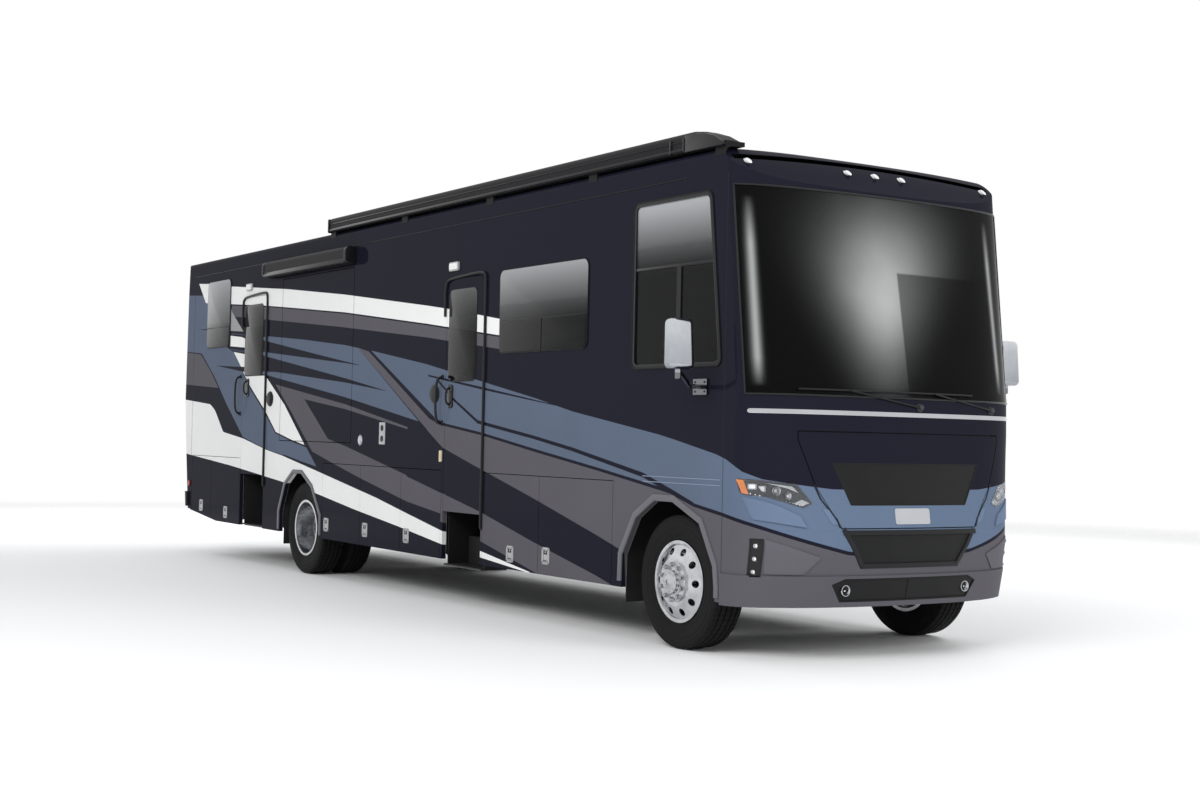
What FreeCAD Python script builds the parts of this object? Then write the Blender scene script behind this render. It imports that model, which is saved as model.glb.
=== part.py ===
import FreeCAD, Part
import math
import os
from functools import lru_cache

V = FreeCAD.Vector

# A front-engined motorhome, in millimetres. X runs forward, Y to its left, Z up from the ground.
# Places along the coach are written ahead of the front axle, so places behind it are negative.

# overall sizes
half_width = 1285.0
front_reach = 1150.0
rear_reach = -10780.0
wheelbase = 6864.0
front_seam = 590.0
rear_seam = -10380.0
roof_edge_height = 3585.0
roof_crown = 45.0
roof_corner_radius = 55.0
wall_thickness = 45.0
wall_top = 3412.0
floor_top = 1250.0
floor_thickness = 45.0
panel_gap = 6.0
seat_gap = 0.3
running_gap = 0.05
overrun = 60.0
point_tolerance = 0.001

# nose: control points of each level's plan, from the side to the middle, and how far each reaches out of the seam
nose_depth = front_reach - front_seam
nose_side_shares = (1.0, 1.0, 0.82, 0.45, 0.0)
bumper_bottom = 380.0
bumper_ledge = 600.0
grille_level = 800.0
bumper_top = 915.0
badge_level = 1090.0
hood_middle = 1400.0
hood_top = 1602.0
cowl_level = 1732.0
screen_bottom = 1848.0
screen_top = 3313.0
screen_edge_bottom = 795.0
screen_edge_top = 628.0
nose_top = 3660.0
nose_levels = (
    (bumper_bottom, (0.06, 0.29, 0.60, 0.84, 0.87)),
    (bumper_ledge, (0.10, 0.36, 0.71, 0.92, 0.95)),
    (grille_level, (0.12, 0.40, 0.78, 0.975, 1.0125)),
    (bumper_top, (0.13, 0.40, 0.785, 0.97, 1.0)),
    (badge_level, (0.15, 0.38, 0.79, 0.91, 0.955)),
    (hood_middle, (0.19, 0.385, 0.775, 0.875, 0.93)),
    (hood_top, (0.21, 0.405, 0.75, 0.85, 0.91)),
    (cowl_level, (0.22, 0.405, 0.73, 0.83, 0.89)),
    (screen_bottom, (0.24, 0.405, 0.70, 0.80, 0.86)),
    (screen_top, (0.0, 0.11, 0.27, 0.36, 0.39)),
    (nose_top, (-0.03, 0.03, 0.19, 0.28, 0.31)),
)
brow_bulge_radius = 15000.0
brow_turn = 7.0
brow_start = 3340.0
brow_front = 800.0
brow_middle = 3490.0
brow_middle_front = 652.0
brow_top_front = 545.0
brow_top = 3575.0
brow_back = 330.0
ledge_step = 14.0

# rear cap, on the same plan
tail_depth = rear_seam - rear_reach
tail_side_shares = (1.0, 1.0, 0.94, 0.55, 0.0)
tail_bottom = 530.0
tail_knee = 1250.0
tail_middle = 1880.0
tail_high = 3210.0
tail_levels = (
    (tail_bottom, (0.10, 0.36, 0.455, 0.52, 0.53)),
    (tail_knee, (0.375, 0.64, 0.735, 0.80, 0.81)),
    (tail_middle, (0.575, 0.84, 0.93, 0.99, 1.00)),
    (tail_high, (0.50, 0.765, 0.855, 0.92, 0.925)),
    (nose_top, (0.42, 0.68, 0.775, 0.84, 0.85)),
)
tail_round = 130.0

# lower edge of the skirts
skirt_front_bottom = 395.0
skirt_middle = -6340.0
skirt_middle_bottom = 412.0
skirt_rear = -9450.0
skirt_rear_bottom = 425.0
skirt_tip_bottom = 520.0

# wheel arches: half the opening ahead of and behind the axle, low and high, and the top
arch_ahead = 520.0
arch_behind = 660.0
arch_ahead_high = 330.0
arch_behind_high = 470.0
arch_shoulder_height = 930.0
arch_knee_height = 640.0
arch_knee_ahead = 500.0
arch_knee_behind = 650.0
arch_top = 1068.0
rear_arch_ahead = 500.0
rear_arch_behind = 600.0
rear_arch_ahead_high = 270.0
rear_arch_behind_high = 450.0

# tyres, rims and axles
tyre_radius = 489.5
tyre_width = 255.0
tyre_tread_half_share = 0.43
tyre_crown_drop = 6.0
tyre_shoulder_drop = 40.0
tyre_bead_half_share = 0.41
rim_radius = 285.0
rim_flange_radius = 298.0
rim_flange_thickness = 11.0
rim_width = 232.0
rim_wall = 12.0
rim_disc_thickness = 22.0
hand_hole_count = 10
hand_hole_radius = 27.0
hand_hole_circle = 226.0
disc_cone = 50.0
disc_face_radius = 178.0
hub_radius = 92.0
hub_cap_radius = 84.0
hub_flange_radius = 150.0
front_tyre_face = 1232.0
rear_tyre_face = 1232.0
dual_spacing = 330.0
front_disc_out = 5.0
front_spindle_inset = 40.0
front_cap_length = 46.0
rear_cap_length = 135.0
rear_spindle_length = 230.0
drum_gap = 14.0
spindle_radius = 38.0
front_kingpin = 930.0
kingpin_radius = 20.0
kingpin_boss_radius = 45.0
kingpin_boss_height = 110.0
knuckle_lug_thickness = 30.0
knuckle_web_gap = 8.0
knuckle_web_thickness = 34.0
steering_arm_length = 190.0
steering_arm_width = 36.0
steering_arm_thickness = 26.0
axle_beam_height = 90.0
axle_beam_width = 76.0
axle_beam_drop = 95.0
axle_drop_half = 610.0
rear_tube_radius = 62.0
differential_radius = 205.0
differential_length = 300.0
brake_drum_radius = 205.0
axle_nose_radius = 100.0
shaft_radius = 45.0
shaft_rise = 260.0

# ladder frame
rail_outer = 432.0
rail_flange = 76.0
rail_web = 9.0
rail_bottom = 770.0
rail_top = 1030.0
rail_front = 640.0
rail_rear = -10480.0
cross_members = (560.0, -1460.0, -2300.0, -3750.0, -4700.0, -5900.0, -7900.0, -9200.0, -10400.0)
cross_member_width = 70.0
bearer_width = 60.0
bearer_places = (-740.0, -2720.0, -3740.0, -6400.0, -7760.0, -8820.0, -10300.0)
bearer_half = 1228.0
leaf_width = 76.0
leaf_thickness = 46.0
leaf_half_length = 720.0
leaf_sag = 120.0
leaf_centre = 445.0
shackle_length = 60.0
engine_length = 950.0
engine_width = 640.0
engine_bottom = 560.0
engine_top = 1190.0
engine_front = 480.0
gearbox_length = 900.0
gearbox_width = 330.0
gearbox_bottom = 640.0
gearbox_top = 1010.0

# tanks between and beside the rails
fuel_tank_front = -8050.0
fuel_tank_rear = -9120.0
fuel_tank_bottom = 560.0
fuel_tank_half_width = 345.0
water_tank_front = -3850.0
water_tank_rear = -4640.0
tank_radius = 60.0

# storage bays under the floor
bay_inner = 560.0
bay_sheet = 12.0
bay_floor_rise = 34.0
bay_door_top = 1192.0
bay_depth_gap = 8.0
bay_door_thickness = 40.0
curb_bays = {
    "tail": (-10330.0, -9656.0),
    "rear": (-9650.0, -8700.0),
    "third": (-6306.0, -5378.0),
    "fourth": (-5372.0, -4466.0),
    "fifth": (-4460.0, -3640.0),
    "sixth": (-2850.0, -1903.0),
    "front": (-1897.0, -800.0),
}
driver_bays = {
    "rear": (-10330.0, -8700.0),
    "middle": (-6306.0, -3640.0),
    "front": (-3200.0, -800.0),
}

# entry doors
door_thickness = 42.0
door_corner = 110.0
front_door_rear = -3600.0
front_door_front = -2880.0
front_door_bottom = 822.0
front_door_top = 2930.0
rear_door_rear = -8680.0
rear_door_front = -7960.0
rear_door_bottom = 1010.0
rear_door_top = 3060.0
door_window_rear_inset = 58.0
door_window_front_inset = 155.0
front_door_window_bottom = 2005.0
front_door_window_top = 2820.0
rear_door_window_bottom = 2150.0
rear_door_window_top = 2955.0
door_window_corner = 60.0
door_window_front_inset_rear = 115.0
door_pane_proud = 3.0

# step wells behind and below the doors
step_depth = 250.0
step_sheet = 14.0
step_side_gap = 12.0
step_bottom = 342.0
step_first = 585.0
step_second = 815.0
step_third = 1030.0
rear_step_bottom = 430.0
step_edge = 1268.0

# fixed windows as rear, front, bottom, top, corner radius
window_frame_width = 32.0
window_frame_proud = 7.0
window_frame_depth = 30.0
pane_thickness = 8.0
pane_recess = 6.0
rear_window = (-9900.0, -9125.0, 2505.0, 3312.0)
middle_window = (-2612.0, -1200.0, 2220.0, 2938.0)
window_corner = 70.0
cab_window_rear = -575.0
cab_window_bottom = 2038.0
cab_window_top = 3300.0
cab_window_top_front = 412.0
cab_window_bottom_front = 560.0
cab_window_corner = 70.0
cab_window_divider = 2790.0
cab_window_post = 20.0
window_bar = 26.0
middle_window_divider = 2500.0
middle_window_post = -1912.0
driver_window_rear = -8850.0
driver_window_front = -7900.0

# slide-out rooms
curb_room = (-7520.0, -5630.0, 1410.0, 3196.0)
driver_room = (-6100.0, -2000.0, 1330.0, 3196.0)
room_wall = 30.0
room_depth = 640.0
room_gap = 8.0
room_window_bottom = 2260.0
room_window_top = 2940.0
room_window_margin = 520.0
room_window_middle = 420.0

# hood with its upper grille
hood_gap = 8.0
hood_thickness = 12.0
hood_bottom = 925.0
hood_top_half = 960.0
hood_shoulder_height = 1536.0
hood_shoulder_half = 960.0
hood_middle_height = 1222.0
hood_middle_half = 838.0
hood_low_height = 1060.0
hood_low_half = 725.0
hood_bottom_half = 640.0
upper_grille_top = 1382.0
upper_grille_bottom = 1090.0
upper_grille_top_half = 700.0
upper_grille_bottom_half = 548.0
grille_bar = 9.0
grille_bar_count = 9
grille_bar_recess = 6.0
grille_recess = 14.0
grille_back = 10.0
lower_grille_top = 884.0
lower_grille_bottom = 665.0
lower_grille_top_half = 612.0
lower_grille_bottom_half = 474.0
intake_top = 580.0
intake_bottom = 416.0
intake_tip_half = 688.0
intake_tip_height = 540.0
intake_top_half = 588.0
intake_bottom_half = 607.0
fog_half = 571.0
fog_height = 497.0
fog_radius = 34.0

# headlamps, wrapped round the corner
lamp_depth = 48.0
lamp_outline = (
    (1228.0, 1258.0),
    (1165.0, 1148.0),
    (925.0, 1072.0),
    (858.0, 1100.0),
    (968.0, 1226.0),
)
day_lamp_half = 1196.0
day_lamp_bottom = 590.0
day_lamp_top = 850.0
day_lamp_width = 62.0

# marker and tail lamps
marker_half_places = (1148.0, 263.0, 0.0, -263.0, -1148.0)
marker_drop = 2.0
marker_height = brow_middle - marker_drop
marker_radius = 21.0
marker_proud = 14.0
side_marker_place = -10420.0
side_marker_height = 845.0
side_marker_radius = 34.0
tail_lamp_half = 1105.0
tail_lamp_bottom = 1320.0
tail_lamp_top = 1720.0
tail_lamp_width = 150.0
tail_lamp_proud = 16.0

# rear bumper and its hitch receiver
rear_bumper_bottom = 560.0
rear_bumper_top = 740.0
rear_bumper_thickness = 60.0
receiver_outer = 76.0
receiver_inner = 51.0
receiver_length = 260.0
receiver_drop = 286.0
receiver_pin_radius = 8.0
receiver_pin_from_mouth = 60.0
rear_window_half = 520.0

# mirrors
mirror_plate_front = 400.0
mirror_plate_rear = 237.0
mirror_plate_bottom = 1842.0
mirror_plate_top = 1955.0
mirror_plate_thickness = 16.0
mirror_arm_radius = 17.0
mirror_reach = 315.0
mirror_head_out = half_width + mirror_reach
mirror_head_width = 205.0
mirror_head_depth = 105.0
mirror_head_bottom = 2005.0
mirror_head_top = 2362.0
mirror_head_place = 470.0
mirror_head_corner = 42.0
mirror_arm_height = 1985.0

# wipers
wiper_pivot_half = 890.0
wiper_inner_pivot = 107.0
wiper_pivot_height = 1785.0
wiper_arm_length = 640.0
wiper_blade_length = 820.0
wiper_thickness = 14.0
wiper_blade_joints = 4
wiper_lift = 16.0
wiper_rise = 105.0

# awnings
awning_rear = -6240.0
awning_front = 552.0
awning_out = 1318.0
awning_in = 1120.0
awning_bottom = 3598.0
awning_heights = (
    (awning_rear, 147.0),
    (160.0, 147.0),
    (300.0, 126.0),
    (415.0, 90.0),
    (499.0, 46.0),
    (awning_front, 14.0),
)
awning_round_share = 0.41
awning_foot_count = 5
awning_foot_length = 120.0
awning_foot_rise = 30.0
topper_rear = -7840.0
topper_front = -5600.0
topper_bottom = 3230.0
topper_top = 3400.0
topper_out = 120.0
topper_round = 50.0

# units on the roof
cooler_places = (-1700.0, -7900.0)
cooler_length = 950.0
cooler_width = 700.0
cooler_base_height = 60.0
cooler_height = 250.0
cooler_round = 90.0
vent_places = (-4300.0, -9600.0)
vent_size = 420.0
vent_height = 110.0

# cab
seat_place = -330.0
seat_side = 640.0
seat_length = 520.0
seat_width = 520.0
seat_bottom = 1560.0
seat_cushion = 140.0
seat_cushion_corner = 35.0
seat_back_height = 720.0
seat_back_thickness = 140.0
seat_back_corner = 46.0
seat_back_lean = 90.0
pedestal_length = 300.0
pedestal_width = 340.0
dash_rear = 270.0
dash_top = 1850.0
dash_bottom = 1500.0
dash_front = 690.0
dash_half = 1180.0
dash_slope = 120.0
steering_wheel_radius = 225.0
steering_rim_radius = 16.0
steering_hub_radius = 45.0
steering_spoke_radius = 11.0
steering_side = 640.0
steering_place = 140.0
steering_height = 1860.0
steering_tilt = 35.0
column_radius = 28.0
column_length = 150.0

# flaps behind the wheels
flap_thickness = 10.0
flap_width = 560.0
flap_bottom = 280.0
flap_top = 1196.0
front_flap_place = -668.0
rear_flap_place = -590.0

# row frame: its origin is on the ground under the middle of the box
origin_place = (front_reach + rear_reach) / 2


def at(place):
    """Row X of a place ahead of the front axle."""
    return place - origin_place


front_axle = at(0.0)
rear_axle = at(-wheelbase)


# shape helpers

def box(x0, x1, y0, y1, z0, z1):
    low = V(min(x0, x1), min(y0, y1), min(z0, z1))
    return Part.makeBox(abs(x1 - x0), abs(y1 - y0), abs(z1 - z0), low)


def joined(shapes):
    shapes = list(shapes)
    return shapes[0].fuse(shapes[1:]) if len(shapes) > 1 else shapes[0]


def fuse(shapes):
    return joined(shapes).removeSplitter()


def mirrored(shape):
    return shape.mirror(V(0, 0, 0), V(0, 1, 0))


def both_sides(shape):
    return Part.makeCompound([shape, mirrored(shape)])


def rod(start, end, radius):
    run = end - start
    return Part.makeCylinder(radius, run.Length, start, run)


def rounded_wire(points, radius, placed):
    """A closed outline of straight runs with tangent arcs at its corners."""
    corners = [V(u, v, 0) for u, v in points]
    count = len(corners)
    edges = []
    ends = []
    for i, corner in enumerate(corners):
        before = (corners[i - 1] - corner).normalize()
        after = (corners[(i + 1) % count] - corner).normalize()
        half = before.getAngle(after) / 2
        back = radius / math.tan(half)
        to_middle = radius / math.sin(half)
        middle = corner + (before + after).normalize() * (to_middle - radius)
        ends.append((corner + before * back, middle, corner + after * back))
    for i, (first, middle, last) in enumerate(ends):
        following = ends[(i + 1) % count][0]
        edges.append(Part.Arc(placed(first), placed(middle), placed(last)).toShape())
        if (following - last).Length > point_tolerance:
            edges.append(Part.makeLine(placed(last), placed(following)))
    return Part.Wire(Part.__sortEdges__(edges))


def straight_wire(points, placed):
    corners = [placed(V(u, v, 0)) for u, v in points]
    return Part.makePolygon(corners + corners[:1])


def outline_wire(points, radius, placed):
    return rounded_wire(points, radius, placed) if radius else straight_wire(points, placed)


def side_prism(points, y0, y1, radius=0):
    """A solid with an outline in X and Z, from y0 to y1."""
    wire = outline_wire(points, radius, lambda p: V(p.x, min(y0, y1), p.y))
    return Part.Face(wire).extrude(V(0, abs(y1 - y0), 0))


def front_prism(points, x0, x1, radius=0):
    """A solid with an outline in Y and Z, from x0 to x1."""
    wire = outline_wire(points, radius, lambda p: V(min(x0, x1), p.x, p.y))
    return Part.Face(wire).extrude(V(abs(x1 - x0), 0, 0))


def oblong(x0, x1, z0, z1, inset=0.0):
    return ((x0 + inset, z0 + inset), (x1 - inset, z0 + inset), (x1 - inset, z1 - inset), (x0 + inset, z1 - inset))


def spun_about_y(points, side_y):
    """A ring whose outline gives Y along the axle and the radius, set at a wheel's axle."""
    corners = [V(0, side_y + y, radius) for y, radius in points]
    face = Part.Face(Part.makePolygon(corners + corners[:1]))
    return face.revolve(V(0, 0, 0), V(0, 1, 0), 360)


# outer skin of the coach

def section_wire(curves, side, back):
    """Closes the curves of a cap's plan with its two sides and a straight back."""
    first = curves[0].valueAt(curves[0].FirstParameter)
    last = curves[-1].valueAt(curves[-1].LastParameter)
    near = V(back, side, first.z)
    far = V(back, -side, first.z)
    return Part.Wire([Part.makeLine(near, first)] + curves + [Part.makeLine(last, far), Part.makeLine(far, near)])


def cap_section(height, seam, sense, poles, inset):
    """Plan outline of an end cap, moved inwards by an inset. The sense is 1 at the nose and -1 at the tail."""
    points = [V(at(seam) + sense * reach, side, height) for side, reach in poles]
    points += [V(p.x, -p.y, p.z) for p in points[-2::-1]]
    away = V(sense, 0, 0)
    runs = [away] + [(b - a).normalize() for a, b in zip(points, points[1:])] + [away * -1]
    moved = []
    for point, before, after in zip(points, runs, runs[1:]):
        inwards = V(before.y + after.y, -before.x - after.x, 0) * sense
        moved.append(point + inwards * (inset / (1 + before.dot(after))))
    curve = Part.BSplineCurve()
    curve.buildFromPoles(moved)
    return section_wire([curve.toShape()], half_width - inset, at(seam) - sense * overrun)


def nose_section(height, inset):
    """Plan outline of the nose at any height."""
    for (low, low_shares), (high, high_shares) in zip(nose_levels, nose_levels[1:]):
        if height <= high:
            break
    part = (height - low) / (high - low)
    shares = [a + (b - a) * part for a, b in zip(low_shares, high_shares)]
    poles = [(half_width * side, nose_depth * reach) for side, reach in zip(nose_side_shares, shares)]
    return cap_section(height, front_seam, 1, poles, inset)


def nose_point(side_y, height, outset):
    """The point of the nose's skin at a side place and height, moved forward by an outset."""
    points = nose_section(height, 0.0).Edges[1].discretize(Number=120)
    for first, second in zip(points, points[1:]):
        if first.y >= side_y >= second.y:
            part = (first.y - side_y) / (first.y - second.y)
            return V(first.x + (second.x - first.x) * part + outset, side_y, height)
    return V(at(front_seam) + outset, side_y, height)


def tail_section(height, shares, inset):
    """Plan outline of the rear cap at one of its levels."""
    poles = [(half_width * side, tail_depth * reach) for side, reach in zip(tail_side_shares, shares)]
    return cap_section(height, rear_seam, -1, poles, inset)


@lru_cache(maxsize=None)
def nose_block(inset):
    return Part.makeLoft([nose_section(level, inset) for level, _ in nose_levels], True, True)


@lru_cache(maxsize=None)
def tail_block(inset):
    return Part.makeLoft([tail_section(level, shares, inset) for level, shares in tail_levels], True, True)


@lru_cache(maxsize=None)
def cross_block(inset):
    """The coach's section, with its crowned roof, along the whole length."""
    side = half_width - inset
    edge = roof_edge_height - inset
    rear = at(rear_reach - overrun)
    corners = (V(rear, side, -overrun), V(rear, side, edge), V(rear, -side, edge), V(rear, -side, -overrun))
    crown = Part.Arc(corners[1], V(rear, 0, edge + roof_crown), corners[2]).toShape()
    wire = Part.Wire([
        Part.makeLine(corners[0], corners[1]),
        crown,
        Part.makeLine(corners[2], corners[3]),
        Part.makeLine(corners[3], corners[0]),
    ])
    length = front_reach - rear_reach + 2 * overrun
    block = Part.Face(wire).extrude(V(length, 0, 0))
    radius = max(roof_corner_radius - inset, panel_gap)
    long_edges = [e for e in block.Edges if len(e.Vertexes) == 2 and is_roof_edge(e, side, edge)]
    return block.makeFillet(radius, long_edges)


def is_roof_edge(edge, side, height):
    ends = [v.Point for v in edge.Vertexes]
    level = all(abs(p.z - height) < point_tolerance and abs(abs(p.y) - side) < point_tolerance for p in ends)
    return level and (ends[0] - ends[1]).Length > roof_edge_height


@lru_cache(maxsize=None)
def brow_block(inset):
    """The rounded top of the nose, a profile turned about a far upright axis."""
    points = (
        (at(brow_back), -overrun),
        (at(front_reach + overrun), -overrun),
        (at(front_reach + overrun), screen_bottom),
        (at(brow_front) - inset, brow_start - inset),
        (at(brow_middle_front) - inset, brow_middle - inset),
        (at(brow_top_front) - inset, brow_top - inset),
        (at(brow_back), roof_edge_height + roof_crown - inset),
    )
    start = [V(x, 0, z) for x, z in points[:4]]
    curve = Part.BSplineCurve()
    curve.interpolate([V(x, 0, z) for x, z in points[3:]])
    edges = [Part.makeLine(start[i], start[i + 1]) for i in range(3)]
    edges += [curve.toShape(), Part.makeLine(V(points[-1][0], 0, points[-1][1]), start[0])]
    face = Part.Face(Part.Wire(edges))
    axis = V(at(brow_middle_front) - brow_bulge_radius, 0, 0)
    face.rotate(axis, V(0, 0, 1), -brow_turn)
    return face.revolve(axis, V(0, 0, 1), 2 * brow_turn)


@lru_cache(maxsize=None)
def tail_round_block(inset):
    """Cuts the rounded upper rear edge."""
    rear = at(rear_reach) - overrun
    lean = tail_depth * (1 - tail_levels[3][1][-1])
    high = roof_edge_height + roof_crown
    points = (
        (rear, -overrun),
        (at(rear_seam + overrun), -overrun),
        (at(rear_seam + overrun), high + overrun),
        (at(rear_reach) + lean + tail_round + inset, high + overrun),
        (at(rear_reach) + lean + tail_round + inset, high - inset),
        (at(rear_reach) + lean + inset, high - tail_round - inset),
        (rear, tail_middle),
    )
    return side_prism(points, -half_width - overrun, half_width + overrun)


@lru_cache(maxsize=None)
def nose_solid(inset):
    return nose_block(inset).common(cross_block(inset)).common(brow_block(inset))


@lru_cache(maxsize=None)
def tail_solid(inset):
    return tail_block(inset).common(cross_block(inset)).common(tail_round_block(inset))


def slab_x(x0, x1, z0=-overrun, z1=roof_edge_height + overrun):
    return box(x0, x1, -half_width - overrun, half_width + overrun, z0, z1 + overrun)


# wheel and skirt outlines

def skirt_bottom_at(place):
    """Height of the skirt's lower edge at a place."""
    knots = (
        (rear_seam, skirt_tip_bottom),
        (skirt_rear, skirt_rear_bottom),
        (skirt_middle, skirt_middle_bottom),
        (front_door_rear, skirt_front_bottom),
        (front_seam, skirt_front_bottom),
    )
    for (x0, z0), (x1, z1) in zip(knots, knots[1:]):
        if place <= x1:
            return z0 + (z1 - z0) * (max(place, x0) - x0) / (x1 - x0)
    return skirt_front_bottom


def skirt_run(rear, front):
    """Points of the lower edge from rear to front."""
    inner = [p for p in (skirt_rear, skirt_middle, front_door_rear) if rear < p < front]
    return [(at(p), skirt_bottom_at(p)) for p in [rear] + inner + [front]]


def front_arch():
    return (
        (front_axle - arch_behind, -overrun),
        (front_axle + arch_ahead, -overrun),
        (front_axle + arch_ahead, tyre_radius),
        (front_axle + arch_knee_ahead, arch_knee_height),
        (front_axle + arch_ahead_high, arch_shoulder_height),
        (front_axle, arch_top),
        (front_axle - arch_behind_high / 2, arch_top),
        (front_axle - arch_behind_high, arch_shoulder_height),
        (front_axle - arch_knee_behind, arch_knee_height),
    )


def rear_arch():
    return (
        (rear_axle - rear_arch_behind, -overrun),
        (rear_axle + rear_arch_ahead, -overrun),
        (rear_axle + rear_arch_ahead, arch_knee_height),
        (rear_axle + rear_arch_ahead_high, arch_shoulder_height),
        (rear_axle, arch_top),
        (rear_axle - rear_arch_behind_high / 2, arch_top),
        (rear_axle - rear_arch_behind_high, arch_shoulder_height),
        (rear_axle - rear_arch_behind, arch_knee_height),
    )


def bay_outline(bay, grow, below):
    """Outline of a bay door, or of its opening when it is grown by the gap round the door."""
    rear, front = bay
    rear -= grow
    front += grow
    low = [(x, z - below) for x, z in skirt_run(rear, front)]
    return low + [(at(front), bay_door_top + grow), (at(rear), bay_door_top + grow)]


def door_outline(rear, front, bottom, top, gap):
    return oblong(at(rear), at(front), bottom, top, gap)


# side walls

def wall_cuts(y0, y1, bays, doors, room, windows):
    """What is cut from a side wall between two Y planes."""
    cuts = [side_prism(front_arch(), y0, y1), side_prism(rear_arch(), y0, y1)]
    for bay in bays.values():
        cuts.append(side_prism(bay_outline(bay, panel_gap, overrun), y0, y1))
    for rear, front, bottom, top in doors:
        cuts.append(side_prism(oblong(at(rear), at(front), bottom, top), y0, y1, door_corner))
        cuts.append(box(at(rear), at(front), y0, y1, -overrun, (bottom + top) / 2))
    rear, front, bottom, top = room
    cuts.append(side_prism(oblong(at(rear), at(front), bottom, top), y0, y1))
    for rear, front, bottom, top in windows:
        cuts.append(side_prism(oblong(at(rear), at(front), bottom, top), y0, y1, window_corner))
    cuts.append(side_prism(cab_window_outline(0.0), y0, y1, cab_window_corner))
    return cuts


def cab_window_outline(inset):
    return (
        (at(cab_window_rear) + inset, cab_window_bottom + inset),
        (at(cab_window_bottom_front) - inset, cab_window_bottom + inset),
        (at(cab_window_top_front) - inset, cab_window_top - inset),
        (at(cab_window_rear) + inset, cab_window_top - inset),
    )


def side_wall(side, bays, doors, room, windows):
    outer = side * half_width
    inner = side * (half_width - wall_thickness)
    low = skirt_run(rear_seam, front_seam)
    blank = side_prism(low + [(at(front_seam), wall_top), (at(rear_seam), wall_top)], inner, outer)
    y0 = side * (half_width - wall_thickness - overrun)
    y1 = side * (half_width + overrun)
    return blank.cut(wall_cuts(y0, y1, bays, doors, room, windows))


front_door_box = (front_door_rear, front_door_front, front_door_bottom, front_door_top)
rear_door_box = (rear_door_rear, rear_door_front, rear_door_bottom, rear_door_top)
driver_rear_window = (driver_window_rear, driver_window_front, rear_window[2], rear_window[3])
curb_windows = (rear_window, middle_window)
driver_windows = (rear_window, driver_rear_window)


def right_wall():
    return side_wall(-1.0, curb_bays, (front_door_box, rear_door_box), curb_room, curb_windows)


def left_wall():
    return side_wall(1.0, driver_bays, (), driver_room, driver_windows)


# fixed windows

def framed(outline_at, side, corner, bars):
    """Frame ring with its bars, and the panes that fill it."""
    outer_y = side * (half_width + window_frame_proud)
    inner_y = side * (half_width - window_frame_depth)
    ring = side_prism(outline_at(seat_gap), inner_y, outer_y, corner - seat_gap)
    hole = side_prism(outline_at(window_frame_width), inner_y - side * overrun, outer_y + side * overrun,
                      corner - window_frame_width)
    y0 = side * (half_width - pane_recess - pane_thickness)
    y1 = side * (half_width - pane_recess)
    pane = side_prism(outline_at(window_frame_width + seat_gap), y0, y1, corner - window_frame_width - seat_gap)
    frame = fuse([ring.cut(hole)] + [bar.common(hole) for bar in bars])
    wide_bars = [grown_bar(bar) for bar in bars]
    if wide_bars:
        pane = pane.cut(wide_bars)
    return frame, pane


def grown_bar(bar):
    b = bar.BoundBox
    grow = seat_gap
    return box(b.XMin - grow, b.XMax + grow, b.YMin - overrun, b.YMax + overrun, b.ZMin - grow, b.ZMax + grow)


def bar_box(side, x0, x1, z0, z1):
    y0 = side * (half_width - window_frame_depth)
    y1 = side * (half_width + window_frame_proud / 2)
    return box(at(x0), at(x1), y0, y1, z0, z1)


def windows():
    frames = []
    panes = []
    for side, boxes in ((-1.0, curb_windows), (1.0, driver_windows)):
        for rear, front, bottom, top in boxes:
            bars = []
            if (rear, front) == middle_window[:2]:
                z = middle_window_divider
                bars.append(bar_box(side, rear, front, z - window_bar / 2, z + window_bar / 2))
                post = middle_window_post
                bars.append(bar_box(side, post - window_bar / 2, post + window_bar / 2, bottom, z))

            def shape_at(inset, rear=rear, front=front, bottom=bottom, top=top):
                return oblong(at(rear), at(front), bottom, top, inset)

            frame, pane = framed(shape_at, side, window_corner, bars)
            frames.append(frame)
            panes.append(pane)
        z = cab_window_divider
        post = cab_window_post
        bars = [
            bar_box(side, cab_window_rear, cab_window_bottom_front, z - window_bar / 2, z + window_bar / 2),
            bar_box(side, post - window_bar, post + window_bar, cab_window_bottom, z),
        ]
        frame, pane = framed(cab_window_outline, side, cab_window_corner, bars)
        frames.append(frame)
        panes.append(pane)
    return Part.makeCompound(frames), Part.makeCompound([s for p in panes for s in p.Solids])


# end caps, roof and windscreen

def screen_outline(inset):
    """Side outline of the windscreen opening, raked with the nose."""
    low_edge = at(screen_edge_bottom) + inset
    high_edge = at(screen_edge_top) + inset
    ahead = at(front_reach + overrun)
    low = screen_bottom + inset
    high = screen_top - inset
    return ((low_edge, low), (ahead, low), (ahead, high), (high_edge, high))


def screen_prism(inset):
    return side_prism(screen_outline(inset), -half_width - overrun, half_width + overrun)


def hood_outline(inset):
    right = [
        (hood_bottom_half - inset, hood_bottom + inset),
        (hood_low_half - inset, hood_low_height),
        (hood_middle_half - inset, hood_middle_height),
        (hood_shoulder_half - inset, hood_shoulder_height),
        (hood_top_half - inset, hood_top - inset),
    ]
    return right + [(-y, z) for y, z in reversed(right)]


def ahead_prism(points, radius=0):
    """A prism that passes through the nose from its front half."""
    return front_prism(points, at(front_seam + wall_thickness), at(front_reach + overrun), radius)


def doubled(points):
    return list(points) + [(-y, z) for y, z in reversed(points)]


def lamp_prism(inset=0.0):
    """Headlamp outline on the left, drawn in Y and Z and run back through the corner."""
    middle_y = sum(y for y, _ in lamp_outline) / len(lamp_outline)
    middle_z = sum(z for _, z in lamp_outline) / len(lamp_outline)
    points = []
    for y, z in lamp_outline:
        away = V(y - middle_y, z - middle_z, 0)
        away = away * (1 - inset / away.Length)
        points.append((middle_y + away.x, middle_z + away.y))
    return ahead_prism(points)


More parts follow.
